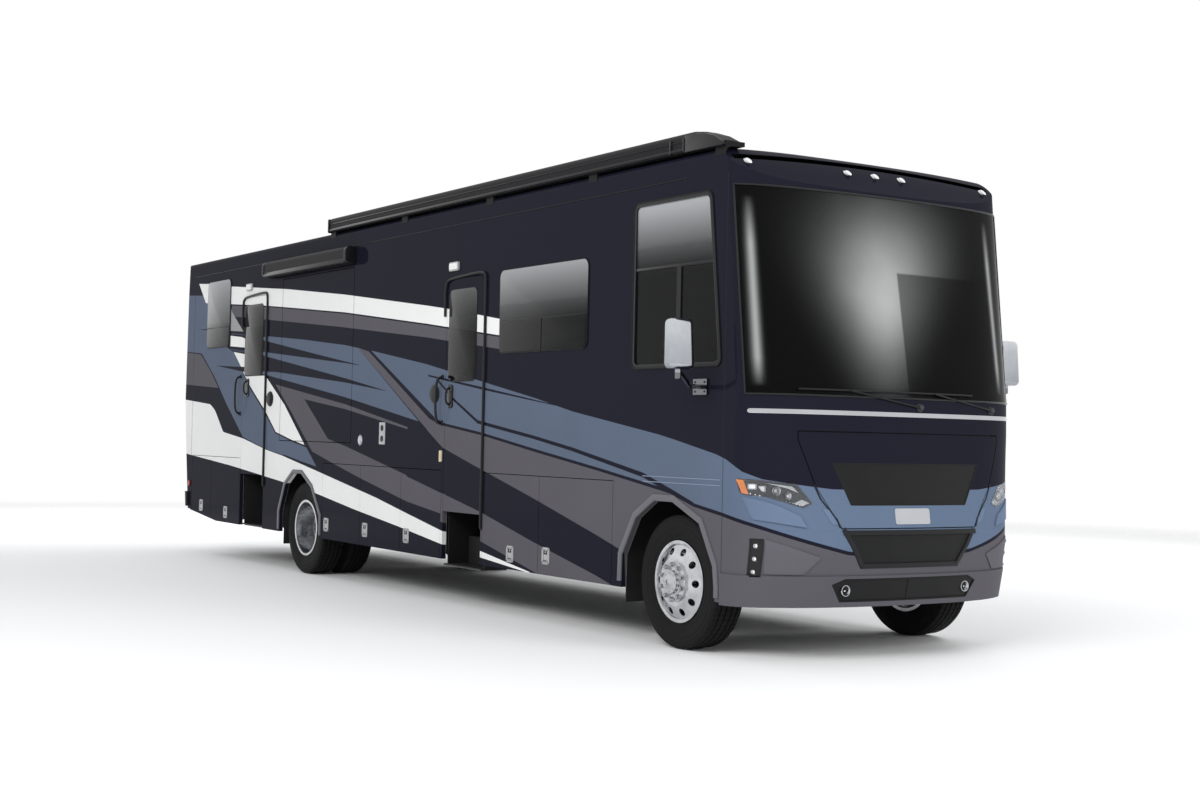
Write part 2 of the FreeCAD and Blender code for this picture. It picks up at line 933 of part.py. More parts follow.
def day_lamp_prism(inset=0.0):
    y = day_lamp_half
    half = day_lamp_width / 2 - inset
    return ahead_prism(oblong(y - half, y + half, day_lamp_bottom + inset, day_lamp_top - inset))


def skin_piece(cutter, block, outer, inner):
    """What a cutter takes out of a hollow block's wall, between two insets."""
    return cutter.common(block(outer)).cut(block(inner))


def front_cap():
    upper = slab_x(at(front_seam), at(front_reach + overrun), bumper_top)
    shell = skin_piece(upper, nose_solid, 0.0, wall_thickness)
    shell = shell.cut([screen_prism(0.0), ahead_prism(hood_outline(0.0))])
    return shell.cut([lamp_prism(), mirrored(lamp_prism())])


def windscreen():
    return skin_piece(screen_prism(seat_gap), nose_solid, seat_gap, seat_gap + pane_thickness)


def roof():
    shell = cross_block(0.0).cut(cross_block(wall_thickness))
    shell = shell.common(slab_x(at(rear_seam), at(front_seam), wall_top + seat_gap))
    ahead = slab_x(at(brow_back), at(front_seam))
    return shell.cut(ahead.cut(brow_block(0.0)))


def rear_cap():
    shell = skin_piece(slab_x(at(rear_reach - overrun), at(rear_seam) - seat_gap), tail_solid, 0.0, wall_thickness)
    window = front_prism(oblong(-rear_window_half, rear_window_half, rear_window[2], rear_window[3]),
                         at(rear_reach - overrun), at(rear_seam), window_corner)
    lamps = [front_prism(tail_lamp_outline(side, 0.0), at(rear_reach - overrun), at(rear_seam) - overrun)
             for side in (1.0, -1.0)]
    return shell.cut([window] + lamps)


def rear_pane():
    outline = oblong(-rear_window_half, rear_window_half, rear_window[2], rear_window[3], seat_gap)
    cutter = front_prism(outline, at(rear_reach - overrun), at(rear_seam) - overrun, window_corner - seat_gap)
    return skin_piece(cutter, tail_solid, pane_recess, pane_recess + pane_thickness)


def tail_lamp_outline(side, inset):
    y = side * tail_lamp_half
    half = tail_lamp_width / 2
    return oblong(y - half, y + half, tail_lamp_bottom, tail_lamp_top, inset)


def tail_lamps():
    cutter = front_prism(tail_lamp_outline(1.0, seat_gap), at(rear_reach - overrun), at(rear_seam) - overrun)
    return both_sides(skin_piece(cutter, tail_block, -tail_lamp_proud, wall_thickness))


def grille(outline, low, high):
    """A back plate with level bars on it, which fills an opening in the nose."""
    cutter = ahead_prism(outline)
    plate = skin_piece(cutter, nose_block, grille_recess, grille_recess + grille_back)
    pitch = (high - low) / grille_bar_count
    bars = []
    for i in range(grille_bar_count):
        z = low + pitch * (i + 1 / 2)
        front = Part.Face(nose_section(z, grille_bar_recess)).extrude(V(0, 0, grille_bar))
        back = Part.Face(nose_section(z, grille_recess + grille_back / 2)).extrude(V(0, 0, grille_bar))
        bars.append(cutter.common(front).cut(back))
    return joined([plate] + bars)


def trapezoid(bottom_half, top_half, bottom, top):
    return ((bottom_half, bottom), (top_half, top), (-top_half, top), (-bottom_half, bottom))


def upper_grille_points(margin):
    return trapezoid(upper_grille_bottom_half + margin, upper_grille_top_half + margin,
                     upper_grille_bottom - margin, upper_grille_top + margin)


def lower_grille_points(margin):
    return trapezoid(lower_grille_bottom_half + margin, lower_grille_top_half + margin,
                     lower_grille_bottom - margin, lower_grille_top + margin)


def hood():
    panel = skin_piece(ahead_prism(hood_outline(hood_gap)), nose_block, 0.0, hood_thickness)
    panel = panel.cut(ahead_prism(upper_grille_points(0.0)))
    bars = grille(upper_grille_points(-seat_gap), upper_grille_bottom, upper_grille_top)
    return Part.makeCompound(panel.Solids + bars.Solids)


def intake_points(margin):
    return doubled((
        (intake_bottom_half + margin, intake_bottom - margin),
        (intake_tip_half + margin, intake_tip_height),
        (intake_top_half + margin, intake_top + margin),
    ))


def front_bumper():
    rear = at(front_seam) + seat_gap
    ahead = at(front_reach + overrun)
    upper = slab_x(rear, ahead, bumper_ledge, bumper_top - seat_gap - overrun)
    lower = slab_x(rear, ahead, 0.0, bumper_ledge - overrun)
    shell = joined([skin_piece(upper, nose_block, 0.0, wall_thickness),
                    skin_piece(lower, nose_block, -ledge_step, wall_thickness)])
    lamps = [day_lamp_prism(), mirrored(day_lamp_prism())]
    shell = shell.cut([ahead_prism(lower_grille_points(0.0)), ahead_prism(intake_points(0.0))] + lamps)
    bars = grille(lower_grille_points(-seat_gap), lower_grille_bottom, lower_grille_top)
    plate = skin_piece(ahead_prism(intake_points(-seat_gap)), nose_block, grille_recess, grille_recess + grille_back)
    plate = plate.cut([fog_rod(side, seat_gap) for side in (1.0, -1.0)])
    return Part.makeCompound(shell.Solids + bars.Solids + plate.Solids)


def fog_rod(side, grow):
    start = V(at(front_seam), side * fog_half, fog_height)
    end = V(at(front_reach + overrun), side * fog_half, fog_height)
    return rod(start, end, fog_radius + grow)


def headlamps():
    lamp = skin_piece(lamp_prism(seat_gap), nose_block, panel_gap / 2, lamp_depth)
    strip = skin_piece(day_lamp_prism(seat_gap), nose_block, panel_gap, wall_thickness)
    fog = skin_piece(fog_rod(1.0, 0.0), nose_block, grille_recess / 2, grille_recess + grille_back)
    left = [s for shape in (lamp, strip, fog) for s in shape.Solids]
    return Part.makeCompound(left + [mirrored(s) for s in left])


def marker_lamps():
    """Clearance lamps that stand proud of the brow and of the tail, and one lamp low on each side."""
    lamps = []
    for y in marker_half_places:
        height = marker_height
        front = rod(V(at(front_seam - overrun), y, height), V(at(front_reach + overrun), y, height), marker_radius)
        lamps.append(skin_piece(front, nose_solid, -marker_proud, -seat_gap))
        height = marker_height - marker_radius
        rear = rod(V(at(rear_seam + overrun), y, height), V(at(rear_reach - overrun), y, height), marker_radius)
        lamps.append(skin_piece(rear, tail_solid, -marker_proud, -seat_gap))
    for side in (1.0, -1.0):
        lamps.append(rod(V(at(side_marker_place), side * half_width, side_marker_height),
                         V(at(side_marker_place), side * (half_width + marker_proud), side_marker_height),
                         side_marker_radius))
    return Part.makeCompound([s for lamp in lamps for s in lamp.Solids])


# entry doors, with the pane set into each

def entry_door(door, window_bottom, window_top, front_inset):
    rear, front, bottom, top = door
    outer = -half_width
    inner = -half_width + door_thickness
    slab = side_prism(door_outline(rear, front, bottom, top, panel_gap), outer, inner, door_corner - panel_gap)
    low = box(at(rear) + panel_gap, at(front) - panel_gap, outer, inner, bottom + panel_gap, (bottom + top) / 2)
    slab = fuse([slab, low])
    x0 = at(rear) + door_window_rear_inset
    x1 = at(front) - front_inset
    hole = side_prism(oblong(x0, x1, window_bottom, window_top), outer - overrun, inner + overrun,
                      door_window_corner)
    pane = side_prism(oblong(x0, x1, window_bottom, window_top, seat_gap), outer - door_pane_proud,
                      outer + pane_thickness, door_window_corner - seat_gap)
    return Part.makeCompound([slab.cut(hole), pane])


# bay doors and bays

def bay_door(side, bay):
    y0 = side * (half_width - bay_door_thickness)
    y1 = side * half_width
    return side_prism(bay_outline(bay, 0.0, 0.0), y0, y1)


def bay_tray(side, bay):
    """Floor, back and ends of one storage bay, hung from the coach's floor."""
    rear, front = bay
    inner = side * bay_inner
    outer = side * (half_width - wall_thickness - bay_depth_gap)
    top = floor_top - floor_thickness
    bottom = max(skirt_bottom_at(rear), skirt_bottom_at(front)) + bay_floor_rise
    whole = box(at(rear), at(front), inner, outer, bottom, top)
    sheet = bay_sheet
    hollow = box(at(rear) + sheet, at(front) - sheet, inner + side * sheet, outer + side * overrun,
                 bottom + sheet, top + overrun)
    return whole.cut(hollow)


def storage_bays():
    trays = [bay_tray(-1.0, bay) for bay in curb_bays.values()]
    trays += [bay_tray(1.0, bay) for bay in driver_bays.values()]
    return Part.makeCompound(trays)


# floor with its two step wells

def step_well(door, bottom, levels):
    """Folded stairs behind and below an entry door, open to the side and to the cabin."""
    wall_back = -half_width + wall_thickness + step_side_gap
    rear = at(door[0]) + step_side_gap
    front = at(door[1]) - step_side_gap
    heights = [bottom] + list(levels) + [floor_top]
    edge = -step_edge
    pieces = []
    for i, (low, high) in enumerate(zip(heights, heights[1:])):
        start = edge + step_depth * i
        end = start + step_depth
        pieces.append(box(rear, front, start, end + step_sheet, low, low + step_sheet))
        pieces.append(box(rear, front, end, end + step_sheet, low, high))
    deep = edge + step_depth * (len(heights) - 1) + step_sheet
    for x0 in (rear, front - step_sheet):
        side_points = [(wall_back, bottom)]
        for i, (low, high) in enumerate(zip(heights, heights[1:])):
            end = edge + step_depth * (i + 1) + step_sheet
            side_points += [(end, low), (end, high)]
        side_points.append((wall_back, floor_top))
        pieces.append(front_prism(side_points, x0, x0 + step_sheet))
    return fuse(pieces), (rear, front, deep)


def cabin_floor():
    side = half_width - wall_thickness - seat_gap
    bottom = floor_top - floor_thickness
    slab = box(at(rear_seam), at(front_seam) - overrun, -side, side, bottom, floor_top)
    pieces = []
    wells = (
        (front_door_box, step_bottom, (step_first, step_second, step_third)),
        (rear_door_box, rear_step_bottom, (step_first + step_side_gap, step_second, step_third)),
    )
    for door, low, levels in wells:
        well, (rear, front, deep) = step_well(door, low, levels)
        slab = slab.cut(box(rear, front, -half_width, deep, bottom - overrun, floor_top + overrun))
        pieces.append(well)
    return Part.makeCompound([slab] + pieces)


# slide-out rooms

def slide_room(side, room, has_windows):
    rear, front, bottom, top = room
    x0 = at(rear) + room_gap
    x1 = at(front) - room_gap
    z0 = bottom + room_gap
    z1 = top - room_gap
    outer = side * half_width
    inner = side * (half_width - room_depth)
    whole = box(x0, x1, inner, outer, z0, z1)
    wall = room_wall
    hollow = box(x0 + wall, x1 - wall, inner - side * overrun, side * (half_width - wall_thickness),
                 z0 + wall, z1 - wall)
    whole = whole.cut(hollow)
    if not has_windows:
        return whole
    middle = (x0 + x1) / 2
    panes = []
    for a, b in ((x0 + room_window_margin, middle - room_window_middle),
                 (middle + room_window_middle, x1 - room_window_margin)):
        hole = side_prism(oblong(a, b, room_window_bottom, room_window_top), outer + side * overrun,
                          outer - side * (wall_thickness + overrun), window_corner)
        whole = whole.cut(hole)
        panes.append(side_prism(oblong(a, b, room_window_bottom, room_window_top, seat_gap),
                                outer - side * pane_recess, outer - side * (pane_recess + pane_thickness),
                                window_corner - seat_gap))
    return Part.makeCompound([whole] + panes)


# chassis

def chassis_rail(side):
    """One channel, open towards the middle of the coach."""
    web = side * rail_outer
    inner = side * (rail_outer - rail_web)
    lip = side * (rail_outer - rail_flange)
    rear = at(rail_rear)
    front = at(rail_front)
    return fuse([
        box(rear, front, web, inner, rail_bottom, rail_top),
        box(rear, front, web, lip, rail_bottom, rail_bottom + rail_web),
        box(rear, front, web, lip, rail_top - rail_web, rail_top),
    ])


def bearer_end(place, bays):
    """How far a floor bearer reaches to one side: it stops at the back of a bay that it meets."""
    half = bearer_width / 2
    meets = any(rear < place + half and place - half < front for rear, front in bays.values())
    return bay_inner - seat_gap if meets else bearer_half


def chassis_frame():
    """Two rails, the cross members between them and the floor bearers on them."""
    rails = [chassis_rail(side) for side in (1.0, -1.0)]
    half = cross_member_width / 2
    inside = rail_outer - rail_web
    members = [box(at(place) - half, at(place) + half, -inside, inside, rail_top - cross_member_width, rail_top)
               for place in cross_members]
    members = [member.cut(rails) for member in members]
    half = bearer_width / 2
    bearers = [box(at(place) - half, at(place) + half, -bearer_end(place, curb_bays),
                   bearer_end(place, driver_bays), rail_top, floor_top - floor_thickness)
               for place in bearer_places]
    return Part.makeCompound(rails + members + bearers)


def leaf_spring(axle_x, y, top):
    """One leaf pack as a shallow arc, with its eyes on hangers under the rail."""
    half = leaf_half_length
    thick = leaf_thickness
    low = top - leaf_sag
    inner = Part.Arc(V(axle_x - half, y, top), V(axle_x, y, low), V(axle_x + half, y, top)).toShape()
    outer = Part.Arc(V(axle_x + half, y, top - thick), V(axle_x, y, low - thick),
                     V(axle_x - half, y, top - thick)).toShape()
    ends = [
        Part.makeLine(V(axle_x + half, y, top), V(axle_x + half, y, top - thick)),
        Part.makeLine(V(axle_x - half, y, top - thick), V(axle_x - half, y, top)),
    ]
    face = Part.Face(Part.Wire([inner, ends[0], outer, ends[1]]))
    pack = face.extrude(V(0, leaf_width, 0))
    hangers = []
    for x in (axle_x - half, axle_x + half - thick):
        hangers.append(box(x, x + thick, y, y + leaf_width, top - thick, rail_bottom - seat_gap))
    return fuse([pack] + hangers), low - thick


def front_axle_beam():
    z = tyre_radius
    half = axle_beam_width / 2
    drop = z - axle_beam_drop
    ends = front_kingpin
    low = drop - axle_beam_height / 2
    high = drop + axle_beam_height / 2
    rise_low = z - axle_beam_height / 2
    rise_high = z + axle_beam_height / 2
    inner = axle_drop_half
    clear = front_kingpin - kingpin_boss_radius - panel_gap
    right = [(inner, low), (clear, rise_low), (ends, rise_low), (ends, rise_high),
             (inner - axle_beam_height / 2, high)]
    beam = front_prism(doubled(right), front_axle - half, front_axle + half)
    boss_low = z - kingpin_boss_height / 2
    pieces = [beam]
    for side in (1.0, -1.0):
        pieces.append(Part.makeCylinder(kingpin_boss_radius, kingpin_boss_height,
                                        V(front_axle, side * front_kingpin, boss_low)))
        y = side * leaf_centre - leaf_width / 2
        spring, under = leaf_spring(front_axle, y, rail_bottom - shackle_length)
        pieces.append(spring)
        pieces.append(box(front_axle - half, front_axle + half, y, y + leaf_width, drop, under + leaf_thickness / 2))
    whole = fuse(pieces)
    for side in (1.0, -1.0):
        whole = whole.cut(Part.makeCylinder(kingpin_radius + running_gap, kingpin_boss_height + 2 * overrun,
                                            V(front_axle, side * front_kingpin, boss_low - overrun)))
    return whole


def knuckle():
    """The left knuckle: two lugs on the kingpin, a web, the wheel spindle and the steering arm."""
    x = front_axle
    y = front_kingpin
    z = tyre_radius
    half = kingpin_boss_height / 2 + seat_gap
    lug = knuckle_lug_thickness
    web_y = y + kingpin_boss_radius + knuckle_web_gap
    width = kingpin_boss_radius
    pieces = [Part.makeCylinder(kingpin_radius, 2 * (half + lug), V(x, y, z - half - lug))]
    for low in (z - half - lug, z + half):
        pieces.append(Part.makeCylinder(kingpin_boss_radius, lug, V(x, y, low)))
        pieces.append(box(x - width, x + width, y, web_y + knuckle_web_thickness, low, low + lug))
    pieces.append(box(x - width, x + width, web_y, web_y + knuckle_web_thickness, z - half - lug, z + half + lug))
    start = V(x, web_y + knuckle_web_thickness / 2, z)
    end = V(x, front_hub_outer(), z)
    pieces.append(rod(start, end, spindle_radius))
    arm_z = z - half - lug
    pieces.append(box(x - steering_arm_length, x, y - steering_arm_width / 2, y + steering_arm_width / 2, arm_z,
                      arm_z + steering_arm_thickness))
    return fuse(pieces)


def front_disc_back():
    return front_tyre_face + front_disc_out


def front_hub_outer():
    """Outer end of the front hub's bore."""
    return front_disc_back() - front_spindle_inset


def rear_axle_tube():
    z = tyre_radius
    end = rear_hub_face()
    inner_end = rear_hub_inner() - panel_gap
    pieces = [
        rod(V(rear_axle, -inner_end, z), V(rear_axle, inner_end, z), rear_tube_radius),
        rod(V(rear_axle, -end, z), V(rear_axle, end, z), spindle_radius),
        Part.makeSphere(differential_radius, V(rear_axle, 0, z)),
        rod(V(rear_axle, 0, z), V(rear_axle + differential_length, 0, z), axle_nose_radius),
    ]
    for side in (1.0, -1.0):
        y = side * leaf_centre - leaf_width / 2
        spring, under = leaf_spring(rear_axle, y, rail_bottom - shackle_length)
        pieces.append(spring)
        half = rear_tube_radius
        pieces.append(box(rear_axle - half, rear_axle + half, y, y + leaf_width, z, under + leaf_thickness / 2))
    return Part.makeCompound([fuse(pieces), drive_shaft()])


def drive_shaft():
    """Runs from the differential's nose up to the gearbox."""
    start = V(rear_axle + differential_length + seat_gap, 0, tyre_radius)
    end = V(at(engine_front - engine_length - gearbox_length) - seat_gap, 0, tyre_radius + shaft_rise)
    further = (end - start).normalize() * overrun
    between = slab_x(start.x, end.x)
    return rod(start - further, end + further, shaft_radius).common(between)


def rear_disc_plane():
    """Where the two discs of a twin wheel meet."""
    return rear_tyre_face - tyre_width / 2 - dual_spacing / 2


def rear_hub_face():
    return rear_disc_plane() - seat_gap


def rear_hub_inner():
    return rear_hub_face() - rear_spindle_length


def engine():
    front = at(engine_front)
    rear = front - engine_length
    block = box(rear, front, -engine_width / 2, engine_width / 2, engine_bottom, engine_top)
    gearbox = box(rear - gearbox_length, rear, -gearbox_width / 2, gearbox_width / 2, gearbox_bottom, gearbox_top)
    return fuse([block, gearbox])


def tanks():
    fuel = box(at(fuel_tank_rear), at(fuel_tank_front), -fuel_tank_half_width, fuel_tank_half_width,
               fuel_tank_bottom, rail_top)
    water = box(at(water_tank_rear), at(water_tank_front), -fuel_tank_half_width, fuel_tank_half_width,
                rail_bottom, rail_top)
    rounded = []
    for tank in (fuel, water):
        edges = [e for e in tank.Edges if abs(e.Vertexes[0].X - e.Vertexes[1].X) > tank_radius]
        tank = tank.makeFillet(tank_radius, edges)
        strap_x = (tank.BoundBox.XMin + tank.BoundBox.XMax) / 2
        strap = box(strap_x - tank_radius, strap_x + tank_radius, -rail_outer + rail_web + seat_gap,
                    rail_outer - rail_web - seat_gap, rail_top - 2 * tank_radius, rail_top - tank_radius)
        rounded.append(fuse([tank, strap]))
    return Part.makeCompound(rounded)


# wheels

def tyre(side_y):
    """One tyre with its middle at side_y, as a closed ring."""
    half = tyre_width / 2
    tread = tyre_width * tyre_tread_half_share
    bead = tyre_width * tyre_bead_half_share
    inner = rim_flange_radius + seat_gap
    middle = (inner + tyre_radius) / 2
    points = (
        (-tread, tyre_radius - tyre_crown_drop),
        (0.0, tyre_radius),
        (tread, tyre_radius - tyre_crown_drop),
        (half, tyre_radius - tyre_shoulder_drop),
        (half, middle),
        (bead, inner),
        (-bead, inner),
        (-half, middle),
        (-half, tyre_radius - tyre_shoulder_drop),
    )
    return spun_about_y(points, side_y)


def rim(side_y, back, outward, cone):
    """Barrel, flanges and disc of one rim. The disc's back is its mounting plane, its cone leads to the barrel."""
    half = rim_width / 2
    barrel = spun_about_y((
        (-half, rim_radius - rim_wall),
        (-half, rim_flange_radius),
        (rim_flange_thickness - half, rim_flange_radius),
        (rim_flange_thickness - half + rim_wall, rim_radius),
        (half - rim_flange_thickness - rim_wall, rim_radius),
        (half - rim_flange_thickness, rim_flange_radius),
        (half, rim_flange_radius),
        (half, rim_radius - rim_wall),
    ), side_y)
    face = back + outward * rim_disc_thickness
    edge_back = back - cone
    edge_face = edge_back + outward * rim_disc_thickness
    edge_radius = rim_radius - rim_wall / 2
    disc = spun_about_y((
        (face, 0.0),
        (face, disc_face_radius),
        (edge_face, edge_radius),
        (edge_back, edge_radius),
        (back, disc_face_radius),
        (back, 0.0),
    ), 0.0)
    holes = []
    low = min(back, edge_back) - overrun
    high = max(face, edge_face) + overrun
    for i in range(hand_hole_count):
        angle = 2 * math.pi * i / hand_hole_count
        x = hand_hole_circle * math.cos(angle)
        z = hand_hole_circle * math.sin(angle)
        holes.append(rod(V(x, low, z), V(x, high, z), hand_hole_radius))
    return barrel.fuse(disc.cut(holes))


def hub(inner, back, cap_length):
    """A hub with its brake drum inboard of the disc and its cap outside."""
    face = back + rim_disc_thickness
    pieces = [
        rod(V(0, inner, 0), V(0, face, 0), hub_radius),
        rod(V(0, inner, 0), V(0, face + cap_length, 0), hub_cap_radius),
        rod(V(0, face, 0), V(0, face + rim_wall, 0), hub_flange_radius),
    ]
    return pieces


def bore(inner, end):
    return rod(V(0, inner - overrun, 0), V(0, end + seat_gap, 0), spindle_radius + running_gap)


def front_wheel():
    """Left front tyre and rim, spun about the axle at the origin."""
    middle = front_tyre_face - tyre_width / 2
    back = front_disc_back()
    inner = front_kingpin + kingpin_boss_radius + knuckle_web_gap + knuckle_web_thickness + panel_gap
    drum = rod(V(0, inner, 0), V(0, back - disc_cone - drum_gap, 0), brake_drum_radius)
    pieces = [rim(middle, back, 1.0, disc_cone), drum] + hub(inner, back, front_cap_length)
    return tyre(middle), fuse(pieces).cut(bore(inner, front_hub_outer()))


def rear_wheel():
    middle = rear_tyre_face - tyre_width / 2
    plane = rear_disc_plane()
    inner = rear_hub_inner()
    inner_middle = middle - dual_spacing
    pieces = [rim(middle, plane, 1.0, -disc_cone), rim(inner_middle, plane, -1.0, disc_cone)]
    pieces.append(rod(V(0, inner, 0), V(0, plane - disc_cone - drum_gap, 0), brake_drum_radius))
    pieces += hub(inner, plane, rear_cap_length)
    whole = fuse(pieces).cut(bore(inner, rear_hub_face()))
    return Part.makeCompound([tyre(middle), tyre(inner_middle)]), whole


def placed_wheel(shape, axle_x):
    moved = shape.copy()
    moved.translate(V(axle_x, 0, tyre_radius))
    return moved


# rear bumper with its hitch receiver

def receiver_mouth():
    """Middle of the receiver's open end."""
    band_rear = at(rear_reach) + tail_depth * (1 - tail_levels[0][1][-1]) - rear_bumper_thickness
    return V(band_rear - receiver_outer / 2, 0, rail_bottom - receiver_drop)


def rear_bumper():
    slab = slab_x(at(rear_reach - overrun), at(rear_seam) - overrun, rear_bumper_bottom, rear_bumper_top - overrun)
    band = skin_piece(slab, tail_block, -rear_bumper_thickness / 2, -seat_gap)
    half = receiver_outer / 2
    bore_half = receiver_inner / 2
    mouth = receiver_mouth().x
    z = receiver_mouth().z
    tube = box(mouth, at(rail_rear) + receiver_length, -half, half, z - half, z + half)
    hole = box(mouth - overrun, at(rail_rear) + receiver_length / 2, -bore_half, bore_half, z - bore_half,
               z + bore_half)
    beam = box(at(rail_rear) + receiver_length - half, at(rail_rear) + receiver_length, -rail_outer, rail_outer,
               z - half, rail_bottom - seat_gap)
    pin_x = mouth + receiver_pin_from_mouth
    pin_hole = rod(V(pin_x, -half - overrun, z), V(pin_x, half + overrun, z), receiver_pin_radius)
    stay = box(mouth + receiver_pin_from_mouth * 2, at(rail_rear) + receiver_length - half, -half, half,
               z + bore_half, z + half)
    whole = fuse([tube, beam, stay]).cut([hole, pin_hole])
    return Part.makeCompound(band.Solids + whole.Solids)


# mirrors and wipers

def mirror():
    """The left mirror: wall plate, bent arm and head."""
    y = half_width
    plate = box(at(mirror_plate_rear), at(mirror_plate_front), y, y + mirror_plate_thickness,
                mirror_plate_bottom, mirror_plate_top)
    middle = at((mirror_plate_rear + mirror_plate_front) / 2)
    low = (mirror_plate_bottom + mirror_plate_top) / 2
    head_x = at(mirror_head_place)
    elbow = V((middle + head_x) / 2, (y + mirror_head_out) / 2, low)
    root = V(middle, y + mirror_plate_thickness, low)
    tip = V(head_x, mirror_head_out, mirror_arm_height + mirror_arm_radius)
    arm = [rod(root, elbow, mirror_arm_radius), Part.makeSphere(mirror_arm_radius, elbow),
           rod(elbow, tip, mirror_arm_radius), Part.makeSphere(mirror_arm_radius, tip),
           rod(tip, tip + V(0, 0, mirror_head_bottom - mirror_arm_height + overrun / 2), mirror_arm_radius)]
    half_width_head = mirror_head_width / 2
    half_depth = mirror_head_depth / 2
    head = box(head_x - half_depth, head_x + half_depth, mirror_head_out - half_width_head,
               mirror_head_out + half_width_head, mirror_head_bottom, mirror_head_top)
    head = head.makeFillet(mirror_head_corner, head.Edges)
    return fuse([plate] + arm + [head])


def wiper(pivot_y):
    """One arm with its blade, parked low on the glass and pointing to the right."""
    radius = wiper_thickness / 2
    start = nose_point(pivot_y, wiper_pivot_height, wiper_lift)
    end_y = pivot_y - wiper_arm_length
    end_z = wiper_pivot_height + wiper_rise
    tip = nose_point(end_y, end_z, wiper_lift + radius)
    foot = rod(start - V(wiper_lift, 0, 0), start + V(radius, 0, 0), wiper_thickness)
    pieces = [foot, rod(start, tip, radius)]
    run = wiper_blade_length / wiper_blade_joints
    places = [nose_point(end_y + wiper_blade_length / 2 - run * i, end_z, wiper_lift)
              for i in range(wiper_blade_joints + 1)]
    for first, second in zip(places, places[1:]):
        pieces.append(rod(first, second, radius))
        pieces.append(Part.makeSphere(radius, second))
    return joined(pieces).cut(nose_block(-seat_gap))


# awnings and roof units

def awning_section(place, height):
    """Outline of the awning's case at one place, with a rounded top."""
    x = at(place)
    radius = height * awning_round_share
    corner = radius * math.sqrt(1 / 2)
    top = awning_bottom + height
    arcs = []
    for y, side in ((-awning_out, 1), (-awning_in, -1)):
        middle = V(x, y + side * radius, top - radius)
        points = [middle - V(0, side * radius, 0), middle + V(0, -side * corner, corner), middle + V(0, 0, radius)]
        arcs.append(points[::side])
    outer, inner = arcs
    low_outer = V(x, -awning_out, awning_bottom)
    low_inner = V(x, -awning_in, awning_bottom)
    return Part.Wire([
        Part.makeLine(low_outer, outer[0]),
        Part.Arc(*outer).toShape(),
        Part.makeLine(outer[2], inner[0]),
        Part.Arc(*inner).toShape(),
        Part.makeLine(inner[2], low_inner),
        Part.makeLine(low_inner, low_outer),
    ])


def awnings():
    main = Part.makeLoft([awning_section(place, height) for place, height in awning_heights], True, True)
    run = (awning_front - awning_rear - awning_foot_length) / (awning_foot_count - 1)
    skin = cross_block(-seat_gap)
    feet = []
    for i in range(awning_foot_count):
        x = at(awning_rear) + run * i
        foot = box(x, x + awning_foot_length, -awning_out + awning_foot_rise, -awning_in, wall_top + overrun * 2,
                   awning_bottom + awning_foot_rise)
        feet.append(foot)
    main = fuse([main] + feet).cut(skin)
    main = max(main.Solids, key=lambda s: s.Volume)
    topper = box(at(topper_rear), at(topper_front), -half_width, -half_width - topper_out, topper_bottom,
                 topper_top)
    outer_edges = [e for e in topper.Edges if abs(e.Vertexes[0].X - e.Vertexes[1].X) > topper_out
                   and e.Vertexes[0].Y < -half_width - topper_round]
    topper = topper.makeFillet(topper_round, outer_edges)
    return Part.makeCompound([main, topper])


def roof_units():
    skin = cross_block(-seat_gap)
    units = []
    base = roof_edge_height - overrun
    for place in cooler_places:
        x = at(place)
        half = cooler_length / 2
        side = cooler_width / 2
        top = roof_edge_height + roof_crown + cooler_base_height + cooler_height
        hood_box = box(x - half, x + half, -side, side, base, top)
        edges = [e for e in hood_box.Edges if max(v.Z for v in e.Vertexes) > top - cooler_round / 2]
        units.append(hood_box.makeFillet(cooler_round, edges))
    for place in vent_places:
        x = at(place)
        half = vent_size / 2
        top = roof_edge_height + roof_crown + vent_height
        units.append(box(x - half, x + half, -half, half, base, top))
    return Part.makeCompound([s for unit in units for s in unit.cut(skin).Solids])


# cab

def seat(side):
    """Pedestal, cushion and back as three plain solids, one above the other."""
    x = at(seat_place)
    y = side * seat_side
    half = seat_width / 2
    length = seat_length / 2
    pedestal = box(x - pedestal_length / 2, x + pedestal_length / 2, y - pedestal_width / 2,
                   y + pedestal_width / 2, floor_top, seat_bottom)
    cushion = box(x - length, x + length, y - half, y + half, seat_bottom, seat_bottom + seat_cushion)
    cushion = cushion.makeFillet(seat_cushion_corner, cushion.Edges)
    back_low = seat_bottom + seat_cushion + seat_gap
    back_x = x - length
    lean = seat_back_lean
    thick = seat_back_thickness
    points = (
        (back_x, back_low),
        (back_x + thick, back_low),
        (back_x + thick - lean, back_low + seat_back_height),
        (back_x - lean, back_low + seat_back_height),
    )
    back = side_prism(points, y - half, y + half, seat_back_corner)
    return Part.makeCompound([pedestal, cushion, back])


def dashboard():
    points = (
        (at(dash_rear), dash_bottom),
        (at(dash_front), dash_bottom),
        (at(dash_front), dash_top),
        (at(dash_rear) + dash_slope, dash_top),
        (at(dash_rear), dash_top - dash_slope),
    )
    top = side_prism(points, -dash_half, dash_half, window_bar)
    leg = box(at(dash_rear) + dash_slope, at(front_seam) - overrun, -dash_half, dash_half, floor_top,
              dash_bottom + overrun)
    footwell = box(at(dash_rear), at(dash_rear) + dash_slope * 2, -dash_half, dash_half, floor_top,
                   dash_bottom - overrun)
    return fuse([top, leg.cut(footwell)])


def wheel_axis():
    tilt = math.radians(steering_tilt)
    return V(-math.sin(math.pi / 2 - tilt), 0, math.cos(math.pi / 2 - tilt))


